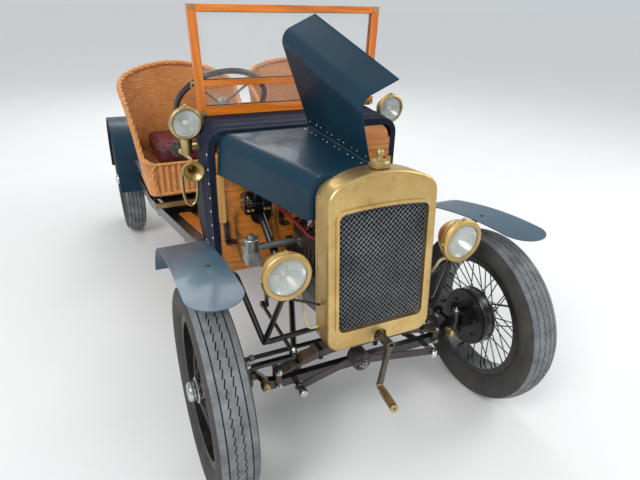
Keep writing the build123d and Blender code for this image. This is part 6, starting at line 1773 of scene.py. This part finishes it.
def make_camera():
    """Camera at the photograph's angle."""
    ahead = Vector((sin(YAW) * cos(PITCH), cos(YAW) * cos(PITCH), -sin(PITCH)))
    right = Vector((cos(YAW), -sin(YAW), 0))
    up = right.cross(ahead)
    turned_right = cos(ROLL) * right + sin(ROLL) * up
    turned_up = -sin(ROLL) * right + cos(ROLL) * up
    lens = bpy.data.cameras.new("photo_camera")
    lens.sensor_width = SENSOR_WIDTH
    lens.lens = FOCAL_PIXELS / FRAME_PIXELS * SENSOR_WIDTH
    lens.clip_end = 60
    camera = bpy.data.objects.new("photo_camera", lens)
    place = Matrix((turned_right, turned_up, -ahead)).transposed().to_4x4()
    place.translation = CAMERA_PLACE
    camera.matrix_world = place
    bpy.context.scene.collection.objects.link(camera)
    bpy.context.scene.camera = camera


# Settings, operators and panel

def colour_setting(name, about, value):
    return bpy.props.FloatVectorProperty(name=name, description=about, subtype="COLOR", size=3, min=0,
                                         max=1, default=value)


def size_setting(name, about, value):
    return bpy.props.FloatProperty(name=name, description=about, subtype="DISTANCE", unit="LENGTH",
                                   default=value)


def count_setting(name, about, value):
    return bpy.props.IntProperty(name=name, description=about, default=value, min=8)


def strength_setting(name, about, value):
    return bpy.props.FloatProperty(name=name, description=about, default=value, min=0)


class TwoSeaterLook(bpy.types.PropertyGroup):
    """Colours and light of the two-seater."""

    brass: colour_setting("Brass", "Polished shell and lamps", tint(226, 196, 134))
    brass_dull: colour_setting("Dull brass", "Where the polish has gone", tint(198, 164, 104))
    blue: colour_setting("Blue", "Bonnet, scuttle and rear wings", tint(8, 49, 67))
    blue_deep: colour_setting("Deep blue", "Cloudy places in the blue", tint(7, 40, 56))
    wing_blue: colour_setting("Wing blue", "Front wings, paler with dust", tint(52, 91, 108))
    black: colour_setting("Black", "Chassis, wheels and boxes", tint(20, 20, 22))
    varnish: colour_setting("Varnish", "Windscreen frame", tint(240, 138, 26))
    varnish_deep: colour_setting("Deep varnish", "Darker bands of the frame's grain", tint(222, 112, 16))
    cane: colour_setting("Cane", "Light strands of the seats", tint(214, 150, 86))
    cane_mid: colour_setting("Brown cane", "Darker strands of the seats", tint(182, 114, 56))
    cane_dark: colour_setting("Old cane", "Dirt between the strands", tint(100, 56, 26))
    leather: colour_setting("Leather", "Seat cushions", tint(104, 32, 40))
    leather_deep: colour_setting("Deep leather", "Folds of the cushions", tint(62, 16, 22))
    sky: colour_setting("Air", "Colour of the even light", (0.92, 0.96, 1.0))
    sky_strength: strength_setting("Air strength", "Strength of the even light", 0.80)
    key_power: strength_setting("Key lamp", "Power of the main lamp in watts", 170)


class TwoSeaterSizes(bpy.types.PropertyGroup):
    """Sizes of the fine detail."""

    tread_repeats: count_setting("Tread repeats", "Zigzags round one tyre", 84)
    groove_width: size_setting("Groove width", "Width of a tread groove", 0.0032)
    groove_depth: size_setting("Groove depth", "Depth of a tread groove", 0.005)
    guard_pitch: size_setting("Mesh pitch", "Distance between the guard's wires", 0.0112)
    guard_wire: size_setting("Mesh wire", "Thickness of the guard's wires", 0.0014)
    cane_pitch: size_setting("Strand pitch", "Height of one strand of cane", 0.0068)
    stake_count: count_setting("Stakes", "Stakes on half of one seat", 60)
    apron_rib: size_setting("Apron rib", "Width of one rib of the seat's apron", 0.026)
    border_radius: size_setting("Border", "Radius of the seat's rolled border", 0.0115)
    cushion_pressure: strength_setting("Cushion pressure", "Filling of the seat cushions", 4.0)


class TWO_SEATER_OT_finishes(bpy.types.Operator):
    """Make the finishes and give each solid its own"""

    bl_idname = "two_seater.finishes"
    bl_label = "Finishes"

    def execute(self, context):
        make_finishes(context.scene.two_seater_look)
        dress_solids()
        return {"FINISHED"}


class TWO_SEATER_OT_stage(bpy.types.Operator):
    """Set up the floor, the light and the camera"""

    bl_idname = "two_seater.stage"
    bl_label = "Stage"

    def execute(self, context):
        make_floor()
        make_air(context.scene.two_seater_look)
        make_lights(context.scene.two_seater_look)
        make_camera()
        context.scene.view_settings.view_transform = "Standard"
        return {"FINISHED"}


class TWO_SEATER_OT_tyres(bpy.types.Operator):
    """Make the four tyres with their tread"""

    bl_idname = "two_seater.tyres"
    bl_label = "Tyres"

    def execute(self, context):
        for wheel in WHEELS:
            make_tyre(context.scene.two_seater_sizes, *wheel)
        return {"FINISHED"}


class TWO_SEATER_OT_wheels(bpy.types.Operator):
    """Make the hub caps, rim beads and nipples"""

    bl_idname = "two_seater.wheels"
    bl_label = "Wheel fittings"

    def execute(self, context):
        for wheel in WHEELS:
            make_wheel_fittings(*wheel)
        return {"FINISHED"}


class TWO_SEATER_OT_radiator(bpy.types.Operator):
    """Weave the stone guard and trim the radiator"""

    bl_idname = "two_seater.radiator"
    bl_label = "Radiator"

    def execute(self, context):
        make_stone_guard(context.scene.two_seater_sizes)
        make_radiator_trim()
        return {"FINISHED"}


class TWO_SEATER_OT_lamps(bpy.types.Operator):
    """Fit the lamps with reflectors, bulbs and rims"""

    bl_idname = "two_seater.lamps"
    bl_label = "Lamps"

    def execute(self, context):
        for lamp in LAMPS:
            make_lamp(*lamp)
        return {"FINISHED"}


class TWO_SEATER_OT_seats(bpy.types.Operator):
    """Weave the two seats and fill their cushions"""

    bl_idname = "two_seater.seats"
    bl_label = "Seats"

    def execute(self, context):
        sizes = context.scene.two_seater_sizes
        for side, shift in (("right", -300), ("left", 300)):
            make_tub(sizes, side, shift)
            make_apron(sizes, side, shift)
            make_pan(side, shift)
            make_border(sizes, side, shift)
            make_seat_base(side, shift)
            make_cushion(sizes, side, shift)
        return {"FINISHED"}


class TWO_SEATER_OT_bonnet(bpy.types.Operator):
    """Rivet and edge the bonnet halves"""

    bl_idname = "two_seater.bonnet"
    bl_label = "Bonnet trim"

    def execute(self, context):
        make_bonnet_trim()
        return {"FINISHED"}


class TWO_SEATER_OT_scuttle(bpy.types.Operator):
    """Cover the scuttle with its cloth and screws"""

    bl_idname = "two_seater.scuttle"
    bl_label = "Scuttle cover"

    def execute(self, context):
        make_scuttle_cover()
        return {"FINISHED"}


class TWO_SEATER_OT_bulkhead(bpy.types.Operator):
    """Fit the boxes, strips and pipes on the bulkhead"""

    bl_idname = "two_seater.bulkhead"
    bl_label = "Bulkhead fittings"

    def execute(self, context):
        make_bulkhead_trim()
        return {"FINISHED"}


class TWO_SEATER_OT_engine(bpy.types.Operator):
    """Fit the nuts, plugs, leads and hose of the engine"""

    bl_idname = "two_seater.engine"
    bl_label = "Engine detail"

    def execute(self, context):
        make_plugs_and_nuts()
        make_castings()
        make_hose()
        make_carburettor()
        make_wiring()
        return {"FINISHED"}


class TWO_SEATER_OT_front_end(bpy.types.Operator):
    """Bolt up the front axle, spring, damper, steering and starting handle"""

    bl_idname = "two_seater.front_end"
    bl_label = "Front end"

    def execute(self, context):
        make_axle_fittings()
        make_damper()
        make_steering_fittings()
        make_starting_handle()
        return {"FINISHED"}


class TWO_SEATER_OT_windscreen(bpy.types.Operator):
    """Glaze and fit the windscreen"""

    bl_idname = "two_seater.windscreen"
    bl_label = "Windscreen"

    def execute(self, context):
        make_windscreen_trim()
        return {"FINISHED"}


class TWO_SEATER_OT_controls(bpy.types.Operator):
    """Make the driver's controls and the horn"""

    bl_idname = "two_seater.controls"
    bl_label = "Controls and horn"

    def execute(self, context):
        make_controls()
        make_horn()
        return {"FINISHED"}


class TWO_SEATER_OT_wings(bpy.types.Operator):
    """Bead and bolt the wings"""

    bl_idname = "two_seater.wings"
    bl_label = "Wings"

    def execute(self, context):
        make_wing_trim()
        return {"FINISHED"}


class TWO_SEATER_OT_rear(bpy.types.Operator):
    """Trim the floor and bolt up the rear axle, silencer and deck"""

    bl_idname = "two_seater.rear"
    bl_label = "Rear and underside"

    def execute(self, context):
        make_floor_trim()
        make_rear_axle_bolts()
        make_tail()
        return {"FINISHED"}


class TWO_SEATER_PT_panel(bpy.types.Panel):
    """Lists the steps that dress the two-seater"""

    bl_label = "Two-seater"
    bl_idname = "TWO_SEATER_PT_panel"
    bl_space_type = "VIEW_3D"
    bl_region_type = "UI"
    bl_category = "Two-seater"

    def draw(self, context):
        layout = self.layout
        for group in (context.scene.two_seater_look, context.scene.two_seater_sizes):
            for name in group.__annotations__:
                layout.prop(group, name)
        for step in STEPS:
            layout.operator(step.bl_idname)


STEPS = (
    TWO_SEATER_OT_finishes,
    TWO_SEATER_OT_stage,
    TWO_SEATER_OT_tyres,
    TWO_SEATER_OT_wheels,
    TWO_SEATER_OT_radiator,
    TWO_SEATER_OT_lamps,
    TWO_SEATER_OT_seats,
    TWO_SEATER_OT_bonnet,
    TWO_SEATER_OT_scuttle,
    TWO_SEATER_OT_bulkhead,
    TWO_SEATER_OT_engine,
    TWO_SEATER_OT_front_end,
    TWO_SEATER_OT_windscreen,
    TWO_SEATER_OT_controls,
    TWO_SEATER_OT_wings,
    TWO_SEATER_OT_rear,
)
CLASSES = (TwoSeaterLook, TwoSeaterSizes, *STEPS, TWO_SEATER_PT_panel)


def register():
    for item in CLASSES:
        bpy.utils.register_class(item)
    bpy.types.Scene.two_seater_look = bpy.props.PointerProperty(type=TwoSeaterLook)
    bpy.types.Scene.two_seater_sizes = bpy.props.PointerProperty(type=TwoSeaterSizes)


def unregister():
    del bpy.types.Scene.two_seater_sizes
    del bpy.types.Scene.two_seater_look
    for item in reversed(CLASSES):
        bpy.utils.unregister_class(item)


def main():
    """Dress the car step by step."""
    register()
    for step in STEPS:
        group, name = step.bl_idname.split(".")
        getattr(getattr(bpy.ops, group), name)()


if __name__ == "__main__":
    main()
